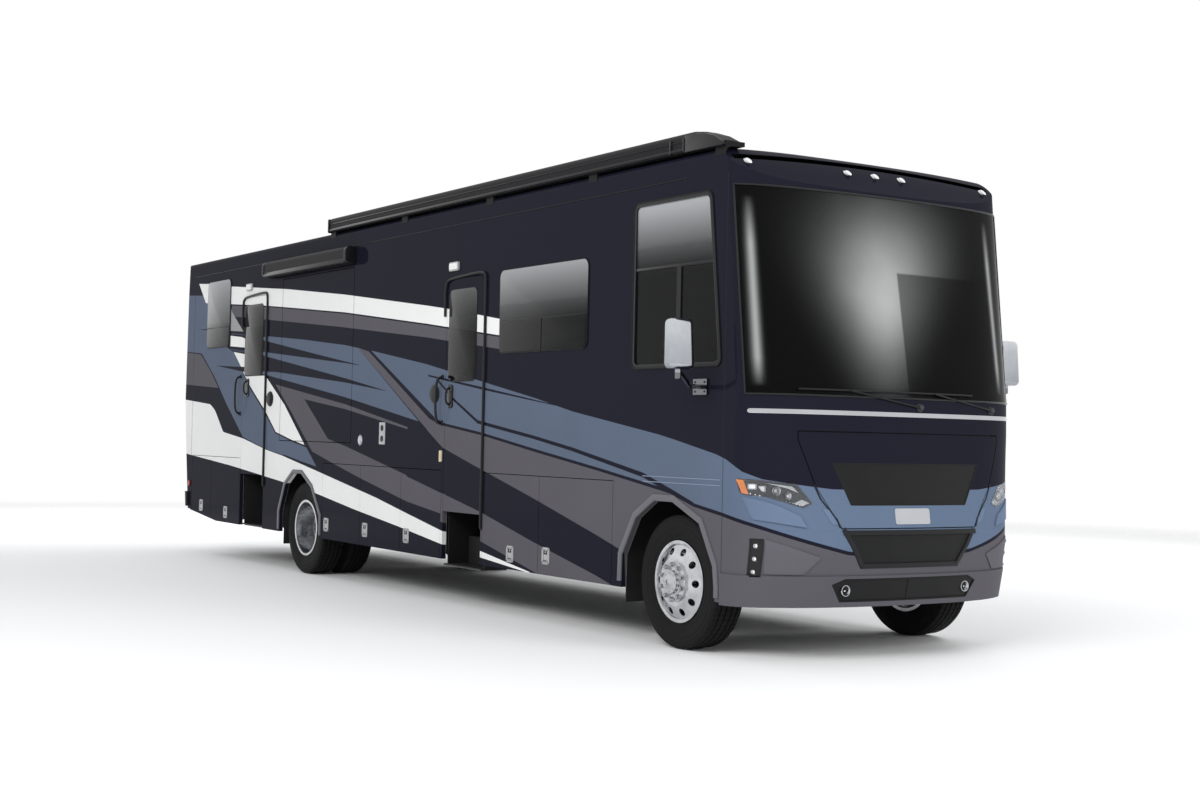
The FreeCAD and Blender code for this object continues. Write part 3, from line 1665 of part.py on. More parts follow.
def steering_wheel():
    centre = V(at(steering_place), steering_side, steering_height)
    axis = wheel_axis()
    ring = Part.makeTorus(steering_wheel_radius, steering_rim_radius, centre, axis)
    hub = rod(centre - axis * steering_hub_radius, centre + axis * steering_rim_radius, steering_hub_radius)
    spokes = []
    across = V(0, 1, 0)
    up = axis.cross(across)
    for direction in (across, across * -1, up * (-1 if up.z > 0 else 1)):
        spokes.append(rod(centre, centre + direction * steering_wheel_radius, steering_spoke_radius))
    return fuse([ring, hub] + spokes)


def steering_column():
    """Joins the dash to the back of the steering wheel's hub."""
    centre = V(at(steering_place), steering_side, steering_height)
    axis = wheel_axis()
    top = centre - axis * (steering_hub_radius + seat_gap)
    return rod(top - axis * column_length, top, column_radius)


def mud_flaps():
    flaps = []
    for side in (1.0, -1.0):
        outer = side * (half_width - wall_thickness - step_side_gap)
        for x in (front_axle + front_flap_place, rear_axle + rear_flap_place):
            flaps.append(box(x, x - flap_thickness, outer, outer - side * flap_width, flap_bottom,
                             floor_top - floor_thickness - seat_gap))
    return Part.makeCompound(flaps)


def build():
    frames, panes = windows()
    rear_glass = rear_pane()
    panes = Part.makeCompound(panes.Solids + rear_glass.Solids)
    front_tyre, front_rim = front_wheel()
    rear_tyres, rear_rim = rear_wheel()
    front_tyre = placed_wheel(front_tyre, front_axle)
    front_rim = placed_wheel(front_rim, front_axle)
    rear_tyres = placed_wheel(rear_tyres, rear_axle)
    rear_rim = placed_wheel(rear_rim, rear_axle)
    left_mirror = mirror()
    dash = fuse([dashboard(), steering_column()])
    parts = {
        "chassis_frame": chassis_frame(),
        "front_axle": front_axle_beam(),
        "rear_axle": rear_axle_tube(),
        "engine": engine(),
        "tanks": tanks(),
        "storage_bays": storage_bays(),
        "cabin_floor": cabin_floor(),
        "left_wall": left_wall(),
        "right_wall": right_wall(),
        "roof": roof(),
        "rear_cap": rear_cap(),
        "front_cap": front_cap(),
        "windscreen": windscreen(),
        "window_frames": frames,
        "window_glass": panes,
        "front_bumper": front_bumper(),
        "headlamps": headlamps(),
        "marker_lamps": marker_lamps(),
        "tail_lamps": tail_lamps(),
        "rear_bumper": rear_bumper(),
        "mirrors": both_sides(left_mirror),
        "wipers": Part.makeCompound([wiper(wiper_pivot_half), wiper(wiper_inner_pivot)]),
        "awnings": awnings(),
        "roof_units": roof_units(),
        "driver_seat": seat(1.0),
        "passenger_seat": seat(-1.0),
        "dashboard": dash,
        "mud_flaps": mud_flaps(),
        "left_knuckle": knuckle(),
        "right_knuckle": mirrored(knuckle()),
        "front_left_tyre": front_tyre,
        "front_right_tyre": mirrored(front_tyre),
        "rear_left_tyres": rear_tyres,
        "rear_right_tyres": mirrored(rear_tyres),
        "front_left_rim": front_rim,
        "front_right_rim": mirrored(front_rim),
        "rear_left_rims": rear_rim,
        "rear_right_rims": mirrored(rear_rim),
        "hood": hood(),
        "front_door": entry_door(front_door_box, front_door_window_bottom, front_door_window_top,
                                 door_window_front_inset),
        "rear_door": entry_door(rear_door_box, rear_door_window_bottom, rear_door_window_top,
                                door_window_front_inset_rear),
        "right_room": slide_room(-1.0, curb_room, False),
        "left_room": slide_room(1.0, driver_room, True),
        "steering_wheel": steering_wheel(),
    }
    for name, bay in curb_bays.items():
        parts["right_bay_door_" + name] = bay_door(-1.0, bay)
    for name, bay in driver_bays.items():
        parts["left_bay_door_" + name] = bay_door(1.0, bay)
    return parts


def main():
    os.makedirs("parts", exist_ok=True)
    for name, shape in build().items():
        shape.exportStep("parts/" + name + ".step")


main()
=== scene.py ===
import math
from functools import partialmethod

import bmesh
import bpy
from mathutils import Matrix, Vector


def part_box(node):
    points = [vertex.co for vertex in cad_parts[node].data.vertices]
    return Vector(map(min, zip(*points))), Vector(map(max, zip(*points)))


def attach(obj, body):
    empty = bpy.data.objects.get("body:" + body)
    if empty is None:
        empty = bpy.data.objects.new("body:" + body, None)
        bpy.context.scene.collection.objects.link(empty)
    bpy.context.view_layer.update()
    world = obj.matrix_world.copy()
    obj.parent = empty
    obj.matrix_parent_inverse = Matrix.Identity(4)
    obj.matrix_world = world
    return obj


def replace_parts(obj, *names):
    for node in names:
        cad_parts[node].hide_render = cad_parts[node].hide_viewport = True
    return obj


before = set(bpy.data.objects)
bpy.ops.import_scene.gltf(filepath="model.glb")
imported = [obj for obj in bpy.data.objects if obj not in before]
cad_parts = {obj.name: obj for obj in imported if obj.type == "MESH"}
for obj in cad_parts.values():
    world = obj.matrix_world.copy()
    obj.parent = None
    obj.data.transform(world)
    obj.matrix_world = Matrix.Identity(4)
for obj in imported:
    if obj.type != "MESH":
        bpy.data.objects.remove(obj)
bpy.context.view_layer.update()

# The coach stands on the ground with its nose towards +X. Places along it are
# written ahead of the front axle, in metres, and at() gives their row X.

front_axle = 4.815
wheelbase = 6.864
rear_axle = front_axle - wheelbase
half_width = 1.285
tyre_radius = 0.4895


def at(place):
    return front_axle + place


# camera

camera_place = (at(9.904), -8.325, 1.523)
camera_turn = 147.17
camera_tilt = 1.27
camera_lean = 1.25
lens_length = 50.145


def set_camera():
    """The camera that the photograph was fitted to."""
    turn = math.radians(camera_turn)
    tilt = math.radians(camera_tilt)
    lean = math.radians(camera_lean)
    ahead = Vector((math.cos(tilt) * math.cos(turn), math.cos(tilt) * math.sin(turn), math.sin(tilt)))
    level = ahead.cross(Vector((0, 0, 1))).normalized()
    upright = level.cross(ahead)
    right = level * math.cos(lean) + upright * math.sin(lean)
    top = upright * math.cos(lean) - level * math.sin(lean)
    data = bpy.data.cameras.new("camera")
    data.lens = lens_length
    data.sensor_width = 36.0
    data.clip_end = 300.0
    camera = bpy.data.objects.new("camera", data)
    bpy.context.scene.collection.objects.link(camera)
    turned = Matrix((right, top, -ahead)).transposed().to_4x4()
    camera.matrix_world = Matrix.Translation(camera_place) @ turned
    bpy.context.scene.camera = camera


set_camera()


# node wiring

def shade(red, green, blue):
    """A colour as it looks on screen, turned into the linear values that a shader takes."""
    def linear(value):
        value = value / 255
        return value / 12.92 if value <= 0.04045 else ((value + 0.055) / 1.055) ** 2.4
    return (linear(red), linear(green), linear(blue), 1.0)


def scaled(colour, factor):
    return tuple(min(channel * factor, 1.0) for channel in colour[:3]) + (1.0,)


def plug(tree, socket, value):
    """Links a socket to another, or gives it a plain value."""
    if isinstance(value, bpy.types.NodeSocket):
        tree.links.new(value, socket)
    else:
        socket.default_value = value


def add_node(tree, kind, *values, **settings):
    """A shader node with its settings and what its first sockets take."""
    node = tree.nodes.new("ShaderNode" + kind)
    for word, value in settings.items():
        setattr(node, word, value)
    for socket, value in zip(node.inputs, values):
        plug(tree, socket, value)
    return node


class Finish:
    """One material and the nodes that feed its shader."""

    def __init__(self, name, rough=0.5, metal=0.0, level=0.5, coat=0.0, coat_rough=0.03):
        self.material = bpy.data.materials.new(name)
        self.material.use_nodes = True
        self.tree = self.material.node_tree
        self.shader = self.tree.nodes["Principled BSDF"]
        for socket, value in (("Roughness", rough), ("Metallic", metal), ("Specular IOR Level", level),
                              ("IOR", 1.45),
                              ("Coat Weight", coat), ("Coat Roughness", coat_rough)):
            self.set(socket, value)
        self.places = self.node("TexCoord").outputs["Object"]
        self.split = None

    def set(self, socket, value):
        plug(self.tree, self.shader.inputs[socket], value)

    def node(self, kind, *values, **settings):
        return add_node(self.tree, kind, *values, **settings)

    def axis(self, name):
        if self.split is None:
            self.split = self.node("SeparateXYZ", self.places)
        return self.split.outputs[name]

    def math(self, operation, *values):
        return self.node("Math", *values, operation=operation).outputs[0]

    times = partialmethod(math, "MULTIPLY")
    plus = partialmethod(math, "ADD")
    minus = partialmethod(math, "SUBTRACT")
    under = partialmethod(math, "LESS_THAN")
    over = partialmethod(math, "GREATER_THAN")
    most = partialmethod(math, "MAXIMUM")
    sine = partialmethod(math, "SINE")
    share = partialmethod(math, "DIVIDE")

    def bell(self, value, steep):
        """One at the middle, and falling off evenly to both sides."""
        return self.math("EXPONENT", self.times(self.times(value, value), -steep))

    def spread(self, value, low, high, to_low=0.0, to_high=1.0, clamp=True):
        return self.node("MapRange", value, low, high, to_low, to_high, clamp=clamp).outputs[0]

    def mix(self, share, first, second):
        node = self.node("Mix", share, data_type="RGBA")
        plug(self.tree, node.inputs[6], first)
        plug(self.tree, node.inputs[7], second)
        return node.outputs[2]

    def stretched(self, scale):
        return self.node("Mapping", self.places, (0, 0, 0), (0, 0, 0), scale,
                         vector_type="TEXTURE").outputs[0]

    def noise(self, scale, detail=3.0, rough=0.5, source=None):
        return self.node("TexNoise", source or self.places, 0.0, scale, detail, rough).outputs[0]

    def bump(self, height, strength, distance=0.001):
        node = self.node("Bump", strength, distance)
        plug(self.tree, node.inputs["Height"], height)
        self.set("Normal", node.outputs[0])

    def from_axle(self):
        """The place ahead of and above the nearer axle, and the distance from it."""
        nearer = self.over(self.axis("X"), (front_axle + rear_axle) / 2)
        along = self.minus(self.axis("X"), self.plus(self.times(nearer, wheelbase), rear_axle))
        rise = self.minus(self.axis("Z"), tyre_radius)
        return along, rise, self.math("SQRT", self.plus(self.times(along, along), self.times(rise, rise)))


def moulded(name, colour, rough=0.5, metal=0.0, level=0.4, grain=180.0, spread=0.10, grip=0.15, coat=0.0,
            tall=0.0006):
    """A moulded, cast or coated surface: cloudy colour, fine grain and uneven gloss."""
    finish = Finish(name, rough, metal, level, coat)
    cloud = finish.noise(2.3, 5.0, 0.6)
    fine = finish.noise(grain, 4.0)
    share = finish.spread(cloud, 0.3, 0.7)
    finish.set("Base Color", finish.mix(share, scaled(colour, 1 - spread), scaled(colour, 1 + spread)))
    finish.set("Roughness", finish.spread(fine, 0.25, 0.75, max(rough - 0.07, 0.02), rough + 0.07))
    finish.bump(fine, grip, tall)
    return finish.material


# coach paint

navy = shade(25, 25, 37)
blue = shade(86, 97, 115)
# a lighter copy of the blue for the nose: painted light
lit_front_blue = shade(92, 107, 130)
grey = shade(86, 84, 90)
white = shade(228, 228, 227)
pale_grey = shade(150, 150, 150)
line_blue = shade(60, 66, 84)

# Each band lies between a top and a bottom line. A line's places run ahead of the
# front axle along the side and on round the nose or tail, and its heights are up
# from the ground.
nose_middle = 2.44
tail_middle = -12.07

white_foot = ((-9.125, 3.010), (-7.95, 2.926), (-7.4, 2.88), (-5.846, 2.745), (-4.0, 2.545), (-2.60, 2.38))
spike_root = ((-8.966, 2.851), (-8.666, 2.83), (-7.874, 2.763), (-6.0, 2.605), (-4.0, 2.4175), (-2.6, 2.2625))
grey_head = ((-7.95, 2.912), (-7.4, 2.866), (-5.845, 2.730), (-4.0, 2.530), (-2.60, 2.365))
slope_foot = ((-8.417, 2.012), (-7.948, 1.737), (-7.627, 1.508), (-7.125, 1.418))
blue_foot = ((-3.8, 1.675), (-3.625, 1.625), (-2.9, 1.545), (-2.0, 1.42), (-1.0, 1.287), (-0.2, 1.175),
             (0.0, 1.14),
             (0.25, 1.07), (0.6, 1.018), (1.0, 0.943), (1.825, 0.771), (nose_middle, 0.74))

bands = (
    ("tail blue", blue,
     ((tail_middle, 3.24), (-10.6, 3.20), (-10.125, 3.17), (-9.9, 3.06), (-9.10, 2.95), (-8.70, 2.667),
      (-8.60, 2.18),
      (-7.948, 1.737), (-7.627, 1.508), (-7.125, 1.418), (-6.775, 1.376)),
     ((tail_middle, 2.50), (-10.6, 2.4875), (-10.1, 2.455), (-9.75, 2.2375), (-9.607, 2.146), (-9.214, 1.842),
      (-8.634, 1.442), (-7.902, 1.311), (-7.4, 1.255), (-6.775, 1.376))),
    ("tail grey", grey,
     ((tail_middle, 2.4875), (-10.6, 2.4775), (-10.13, 2.442), (-9.78, 2.2375), (-9.475, 2.02)),
     ((tail_middle, 2.08), (-10.6, 2.075), (-9.475, 2.02))),
    ("upper white", white,
     ((-10.26, 3.325), (-9.9, 3.30), (-9.118, 3.219), (-7.4, 3.08), (-5.857, 2.927), (-4.0, 2.7125),
      (-3.54, 2.655),
      (-2.60, 2.52)),
     ((-10.26, 3.325), (-10.0, 3.07), *white_foot)),
    ("upper navy line", navy, white_foot, ((-9.125, 2.995), *grey_head)),
    ("upper grey", grey,
     ((-9.10, 2.993), *grey_head, (-2.2, 2.31),
      (-1.66, 2.235), (-1.40, 2.13)),
     ((-9.10, 2.925), *spike_root,
      (-2.225, 2.222), (-1.6, 2.222), (-1.40, 2.13))),
    ("upper navy", navy,
     ((-9.0, 2.865), *spike_root),
     ((-9.0, 2.86), (-8.70, 2.667), (-8.56, 2.20), (-7.9, 2.11), (-6.0, 1.90), (-4.0, 1.70), (-2.6, 2.2))),
    ("pale triangle", pale_grey,
     ((-9.11, 2.945), (-9.096, 2.922), (-8.699, 2.667)),
     ((-9.11, 2.70), (-9.097, 2.69), (-8.699, 2.667))),
    ("line under triangle", navy,
     ((-9.4, 2.70), (-9.09, 2.69), (-8.69, 2.667), (-8.54, 2.66)),
     ((-9.4, 2.69), (-9.09, 2.632), (-8.683, 2.597), (-8.54, 2.58))),
    ("grey line", line_blue,
     ((-9.11, 2.664), (-8.54, 2.622)),
     ((-9.11, 2.650), (-8.54, 2.612))),
    ("white bar", white,
     ((-9.11, 2.634), (-8.75, 2.604), (-8.66, 2.588), (-8.59, 2.556), (-8.557, 2.51)),
     ((-9.11, 2.509), (-8.557, 2.472))),
    ("line under bar", navy,
     ((-10.25, 2.755), (-9.9, 2.745), (-9.11, 2.509), (-8.54, 2.472)),
     ((-10.25, 2.755), (-9.9, 2.73), (-9.11, 2.462), (-9.0, 2.44), (-8.54, 2.385))),
    ("blue line under bar", line_blue,
     ((-9.11, 2.478), (-8.54, 2.432)),
     ((-9.11, 2.462), (-8.54, 2.412))),
    ("white wedge", white,
     ((-8.99, 2.437), (-8.54, 2.391)),
     ((-8.99, 2.434), (-8.745, 2.257), (-8.54, 2.252))),
    ("door navy line", navy,
     ((-9.55, 2.29), (-8.745, 2.256), (-8.5, 2.246), (-8.2, 2.236)),
     ((-9.55, 2.288), (-8.70, 2.20), (-8.5, 2.19), (-8.2, 2.18))),
    ("white slope", white,
     ((-8.67, 2.197), (-8.533, 2.190), (-8.495, 2.146), (-7.99, 2.139), (-7.892, 2.091), (-7.396, 1.808),
      (-6.824, 1.388)),
     ((-8.67, 2.192), *slope_foot, (-6.824, 1.376))),
    ("slope navy edge", navy,
     ((-8.67, 2.192), *slope_foot, (-6.76, 1.370)),
     ((-8.67, 2.180), (-8.43, 1.992), (-7.96, 1.715), (-7.64, 1.490), (-7.125, 1.400), (-6.76, 1.350))),
    ("middle blue", blue,
     ((-8.07, 2.577), (-7.893, 2.579), (-6.897, 2.505), (-5.826, 2.409), (-5.51, 2.37), (-4.125, 1.64)),
     ((-8.07, 2.157), (-7.895, 2.139), (-5.794, 1.878), (-4.125, 1.638))),
    ("first spike", navy,
     ((-8.07, 2.545), (-7.889, 2.517), (-6.366, 2.314), (-5.46, 2.197)),
     ((-8.07, 2.412), (-7.881, 2.395), (-5.815, 2.226), (-5.46, 2.194))),
    ("second spike", navy,
     ((-8.07, 2.372), (-7.877, 2.344), (-5.805, 2.071), (-4.84, 1.932)),
     ((-8.07, 2.187), (-7.673, 2.174), (-5.803, 2.027), (-4.84, 1.929))),
    ("middle grey", grey,
     ((-7.66, 2.034), (-5.789, 1.806), (-4.35, 1.582)),
     ((-7.66, 2.030), (-7.207, 1.736), (-6.705, 1.385), (-6.6, 1.31), (-6.0, 1.1875), (-5.4, 1.07),
      (-4.35, 0.885))),
    ("middle grey front", grey,
     ((-4.36, 1.12), (-3.62, 0.985), (-3.55, 0.98)),
     ((-4.36, 0.885), (-3.62, 0.80), (-3.55, 0.79))),
    ("inner navy", navy,
     ((-6.841, 1.864), (-5.786, 1.756), (-4.33, 1.56)),
     ((-6.841, 1.862), (-6.199, 1.448), (-5.763, 1.381), (-4.75, 1.20), (-4.33, 1.125))),
    ("shadowed blue", blue,
     ((-7.62, 1.492), (-7.125, 1.398), (-6.76, 1.350), (-6.48, 1.156)),
     ((-7.62, 1.288), (-7.4, 1.264), (-6.9, 1.20), (-6.48, 1.154))),
    ("grey slope", grey,
     ((-5.51, 2.372), (-5.25, 2.325), (-3.9, 1.66), (-3.8, 1.638), (-3.62, 1.56)),
     ((-5.51, 2.370), (-4.02, 1.60), (-3.62, 1.40))),
    ("lower grey", grey,
     ((-3.95, 1.64), (-3.625, 1.60), (-2.9, 1.52), (-2.0, 1.395), (-1.0, 1.2625), (-0.2, 1.15), (0.0, 1.12),
      (0.25, 1.05), (0.6, 1.0), (1.0, 0.925), (1.825, 0.753), (nose_middle, 0.72)),
     ((-3.95, 1.56), (-3.625, 1.40), (-2.9, 1.225), (-2.0, 1.0125), (-1.0, 0.7625), (-0.62, 0.66),
      (-0.60, 0.0),
      (0.6, 0.0), (1.0, 0.0), (1.825, 0.0), (nose_middle, 0.0))),
    ("right blue", blue,
     ((-5.19, 2.332), (-4.0, 2.17), (-3.05, 2.0125), (-2.0, 1.8375), (-1.4, 1.725), (-0.2, 1.555),
      (0.0, 1.52),
      (0.5, 1.425), (0.62, 1.392), (0.80, 1.31), (1.0, 1.262), (1.38, 1.225), (1.66, 1.200),
      (nose_middle, 1.195)),
     ((-5.19, 2.330), *blue_foot)),
    ("first navy line", navy,
     ((-3.95, 2.070), (-2.9, 1.940), (-1.45, 1.752)),
     ((-3.95, 2.055), (-2.9, 1.918), (-1.45, 1.748))),
    ("second navy line", navy,
     ((-3.74, 2.02), (-3.41, 1.838), (-2.975, 1.652), (-2.0, 1.527), (-1.4, 1.440), (-0.4, 1.270),
      (0.0, 1.153),
      (0.25, 1.075)),
     ((-3.74, 1.995), (-3.41, 1.812), (-2.975, 1.622), (-2.0, 1.498), (-1.4, 1.410), (-0.4, 1.235),
      (0.0, 1.115),
      (0.25, 1.045))),
    ("navy edge", navy,
     ((-3.95, 1.72), *blue_foot),
     ((-3.95, 1.69), (-3.8, 1.65), (-3.625, 1.60), (-2.9, 1.52), (-2.0, 1.395), (-1.0, 1.2625), (-0.2, 1.15),
      (0.0, 1.12), (0.25, 1.045), (0.6, 0.992), (1.0, 0.917), (1.825, 0.745), (nose_middle, 0.714))),
    ("low grey", grey,
     ((-3.64, 0.99), (-2.9, 0.855), (-2.0, 0.655), (-1.0, 0.45), (-0.775, 0.395)),
     ((-3.64, 0.73), (-2.9, 0.605), (-2.4, 0.50), (-1.925, 0.40), (-0.775, 0.394))),
    ("lower white", white,
     ((tail_middle, 1.90), (-10.66, 1.8875), (-9.75, 1.825), (-9.577, 1.752), (-9.279, 1.493), (-8.6, 1.420),
      (-7.902, 1.305), (-7.4, 1.245), (-6.5, 1.1125), (-6.0, 1.0375), (-5.0, 0.8875), (-4.5, 0.80),
      (-3.8, 0.68),
      (-3.55, 0.6375), (-2.91, 0.52), (-2.4, 0.45), (-2.025, 0.40)),
     ((tail_middle, 1.225), (-10.62, 1.2125), (-9.0, 1.10), (-7.975, 1.0125), (-7.4, 0.9625),
      (-6.5875, 0.8875),
      (-5.5, 0.75), (-4.5, 0.6375), (-3.8, 0.55), (-3.55, 0.52), (-2.91, 0.4625), (-2.025, 0.39))),
)


def coach_paint(name, inside_half=None, inside=shade(176, 168, 156), roof_white=False, painted_light_gain=1.0):
    """Painted panels: stripes over navy, metallic flake, a clear coat, and a lining within inside_half.
    Painted light: the blue turns lighter towards the nose, and a whole copy of the paint can be made
    brighter.
    """
    finish = Finish(name, 0.42, 0.0, 0.0, 0.14, 0.05)
    side = finish.math("ABSOLUTE", finish.axis("Y"))
    height = finish.axis("Z")
    inward = finish.most(finish.minus(half_width, side), 0.0)
    signed = finish.times(finish.math("SIGN", finish.axis("X")), inward)
    place = finish.minus(finish.plus(finish.axis("X"), signed), front_axle)
    share = finish.share(height, 4.0)
    colour = finish.mix(0.0, navy, navy)
    for _, band_colour, top, bottom in bands:
        start = min(top[0][0], bottom[0][0])
        end = max(top[-1][0], bottom[-1][0])
        along = finish.spread(place, start, end, clamp=False)
        high = band_line(finish, along, top, start, end)
        low = band_line(finish, along, bottom, start, end)
        within = finish.times(finish.under(share, high),
                             finish.over(share, low))
        middle = finish.math("COMPARE", along, 0.5, 0.5)
        # Painted light: towards the nose the blue turns to its lighter copy, for the light that falls on the
        # nose.
        if band_colour is blue:
            band_colour = finish.mix(finish.spread(place, 0.2, 1.2), blue, lit_front_blue)
        colour = finish.mix(finish.times(within, middle), colour, band_colour)
    if roof_white:
        on_top = finish.times(finish.under(side, 1.10),
                             finish.under(finish.axis("X"), at(0.10)))
        colour = finish.mix(finish.times(on_top, finish.over(height, 3.55)), colour,
                            shade(205, 206, 204))
    if inside_half is not None:
        colour = finish.mix(finish.under(side, inside_half), colour, inside)
    flake = finish.noise(2600.0, 1.0)
    cloud = finish.noise(1.7, 3.0)
    bright = finish.plus(finish.spread(flake, 0.3, 0.7, 0.93, 1.03),
                         finish.spread(cloud, 0.3, 0.7, 0.0, 0.05))
    # Painted light: the whole paint made brighter, as on the lit facets of the nose.
    bright = finish.times(bright, painted_light_gain)
    tone = finish.node("HueSaturation")
    plug(finish.tree, tone.inputs["Value"], bright)
    plug(finish.tree, tone.inputs["Color"], colour)
    finish.set("Base Color", tone.outputs[0])
    finish.set("Roughness", finish.spread(flake, 0.3, 0.7, 0.30, 0.40))
    finish.bump(finish.noise(55.0, 2.0), 0.02, 0.0006)
    return finish.material


def band_line(finish, along, points, start, end):
    """Height of a band's edge along the coach, as a share of four metres."""
    node = finish.node("FloatCurve")
    curve = node.mapping.curves[0]
    spots = [((x - start) / (end - start), z / 4.0) for x, z in points]
    curve.points[0].location = spots[0]
    curve.points[1].location = spots[-1]
    for spot in spots[1:-1]:
        curve.points.new(*spot)
    for point in curve.points:
        point.handle_type = "VECTOR"
    node.mapping.update()
    plug(finish.tree, node.inputs["Value"], along)
    return node.outputs[0]


painted = coach_paint("coach_paint")
painted_wall = coach_paint("coach_paint_wall", inside_half=1.2415)
painted_door = coach_paint("coach_paint_door", inside_half=1.2435)
painted_roof = coach_paint("coach_paint_roof", roof_white=True)


# other finishes

def glass(name, colour, solid, fade=None, pale=None, rough=0.02, level=0.12):
    """Tinted glass. As painted reflection, the tint fades to a paler and more opaque one towards the top of
    each pane, over the given places and heights.
    """
    finish = Finish(name, rough, 0.0, level)
    shade_of = finish.mix(finish.spread(finish.noise(1.4, 3.0), 0.3, 0.7), scaled(colour, 0.85),
                          scaled(colour, 1.15))
    opacity = finish.times(solid, 1.0)
    # painted reflection of the bright sky on the upper part of each pane
    for behind, ahead, low, high, strength in fade or ():
        near = finish.times(finish.over(finish.axis("X"), at(behind)),
                           finish.under(finish.axis("X"), at(ahead)))
        rise = finish.spread(finish.axis("Z"), low, high)
        rise = finish.math("POWER", rise, 1.6)
        part = finish.times(near, finish.times(rise, strength))
        shade_of = finish.mix(part, shade_of, pale)
        opacity = finish.most(opacity, finish.times(near, finish.spread(rise, 0.0, 0.25, 0.0, 1.0)))
    finish.set("Base Color", shade_of)
    finish.set("Alpha", opacity)
    return finish.material


black_trim = moulded("black_trim", shade(26, 26, 28), 0.42, level=0.25)
black_gloss = moulded("black_gloss", shade(24, 24, 26), 0.18, level=0.35, grip=0.03)
# The fades and the pale colour here are a painted reflection on the upper part of the panes.
fixed_glass = glass("fixed_glass", shade(16, 17, 17), 0.80,
                    fade=((-10.2, -8.5, 2.45, 3.30, 0.9), (-3.0, -1.0, 2.45, 2.92, 0.75),
                          (-0.8, 0.8, 2.74, 3.27, 1.0),
                          (-9.0, -7.0, 2.45, 3.30, 0.9)),
                    pale=shade(160, 162, 164))
room_glass = glass("room_glass", shade(16, 17, 17), 0.85)
chrome = moulded("chrome", shade(188, 190, 194), 0.12, 1.0, 0.5, grain=12.0, spread=0.06, grip=0.01)
polished = moulded("polished_aluminium", shade(196, 197, 200), 0.20, 1.0, 0.5, grain=40.0, spread=0.06,
                   grip=0.02)
cast = moulded("cast_steel", shade(70, 70, 72), 0.62, 0.6, 0.4, grain=140.0, spread=0.2, grip=0.5, tall=0.002)
frame_black = moulded("frame_black", shade(30, 30, 31), 0.55, 0.0, 0.35, grain=90.0, spread=0.2, grip=0.3)
tank_grey = moulded("tank_plastic", shade(58, 59, 61), 0.6, 0.0, 0.4, grain=60.0, spread=0.15, grip=0.3)
rubber = moulded("tyre_rubber", shade(38, 38, 39), 0.72, 0.0, 0.3, grain=320.0, spread=0.15, grip=0.3)
flap_rubber = moulded("flap_rubber", shade(30, 30, 31), 0.75, 0.0, 0.3, grain=120.0, spread=0.2, grip=0.5)
awning_case = moulded("awning_case", shade(27, 27, 29), 0.48, 0.0, 0.10, grain=240.0, spread=0.10, grip=0.15)
white_shell = moulded("white_shell", shade(216, 217, 216), 0.42, 0.0, 0.4, grain=150.0, spread=0.03, grip=0.2)
dash_plastic = moulded("dash_plastic", shade(52, 50, 50), 0.62, 0.0, 0.35, grain=420.0, spread=0.12, grip=0.5)
seat_cover = moulded("seat_cover", shade(158, 156, 146), 0.58, 0.0, 0.4, grain=380.0, spread=0.08, grip=0.5)
red_lens = moulded("red_lens", shade(140, 18, 20), 0.12, 0.0, 0.5, grain=400.0, spread=0.15, grip=0.4,
                   coat=0.5)
amber_lens = moulded("amber_lens", shade(214, 120, 40), 0.12, 0.0, 0.5, grain=400.0, spread=0.15, grip=0.4,
                     coat=0.5)
clear_lens = moulded("clear_lens", shade(214, 216, 218), 0.10, 0.3, 0.5, grain=300.0, spread=0.10, grip=0.2,
                     coat=0.5)
# The fades and the pale colour here are a painted reflection on the upper part of the panes.
door_glass = glass("door_glass", shade(16, 17, 16), 0.90,
                   fade=((-4.0, -2.0, 2.40, 2.83, 0.45), (-9.0, -7.0, 2.45, 3.05, 0.40)),
                   pale=shade(120, 122, 120))
latch_grey = moulded("latch_grey", shade(168, 169, 170), 0.30, 0.35, 0.5, grain=200.0, spread=0.06, grip=0.1)
milk_lens = moulded("milk_lens", shade(226, 226, 224), 0.22, 0.0, 0.5, grain=260.0, spread=0.03, grip=0.2)
cream_lens = moulded("cream_lens", shade(206, 190, 160), 0.3, 0.0, 0.5, grain=260.0, spread=0.05, grip=0.2)
pale_edge = moulded("pale_edge", shade(120, 134, 156), 0.3, 0.2, 0.5, grain=200.0, spread=0.05, grip=0.05)
lit_lens = moulded("lit_lens", shade(232, 234, 236), 0.14, 0.0, 0.5, grain=300.0, spread=0.04, grip=0.2)
brushed = moulded("brushed_plate", shade(176, 178, 182), 0.34, 0.4, 0.4, grain=14.0, spread=0.05, grip=0.02)
mirror_glass = moulded("mirror_glass", shade(190, 194, 198), 0.03, 1.0, 0.5, grain=12.0, spread=0.03,
                       grip=0.01)
topper_cloth = moulded("topper_cloth", shade(42, 43, 46), 0.72, 0.0, 0.10, grain=520.0, spread=0.12, grip=0.6)
insert_plastic = moulded("insert_plastic", shade(25, 25, 26), 0.55, 0.0, 0.2, grain=160.0, spread=0.10,
                         grip=0.3)
painted_lip = moulded("painted_lip", shade(96, 95, 101), 0.34, 0.0, 0.25, grain=700.0, spread=0.05, grip=0.03)


def clear_cover():
    """A clear lamp cover: nearly nothing seen straight on, with a pale painted reflection that shows more at
    a slant.
    """
    finish = Finish("lamp_cover", 0.03, 0.0, 0.5)
    edge = finish.node("LayerWeight", 0.25)
    cloud = finish.noise(3.0, 3.0)
    # painted reflection: a pale colour, made more opaque at a slant below
    finish.set("Base Color", finish.mix(cloud, shade(160, 166, 172), shade(186, 190, 196)))
    finish.set("Alpha", finish.spread(edge.outputs["Facing"], 0.0, 1.0, 0.07, 0.5))
    return finish.material


lamp_cover = clear_cover()


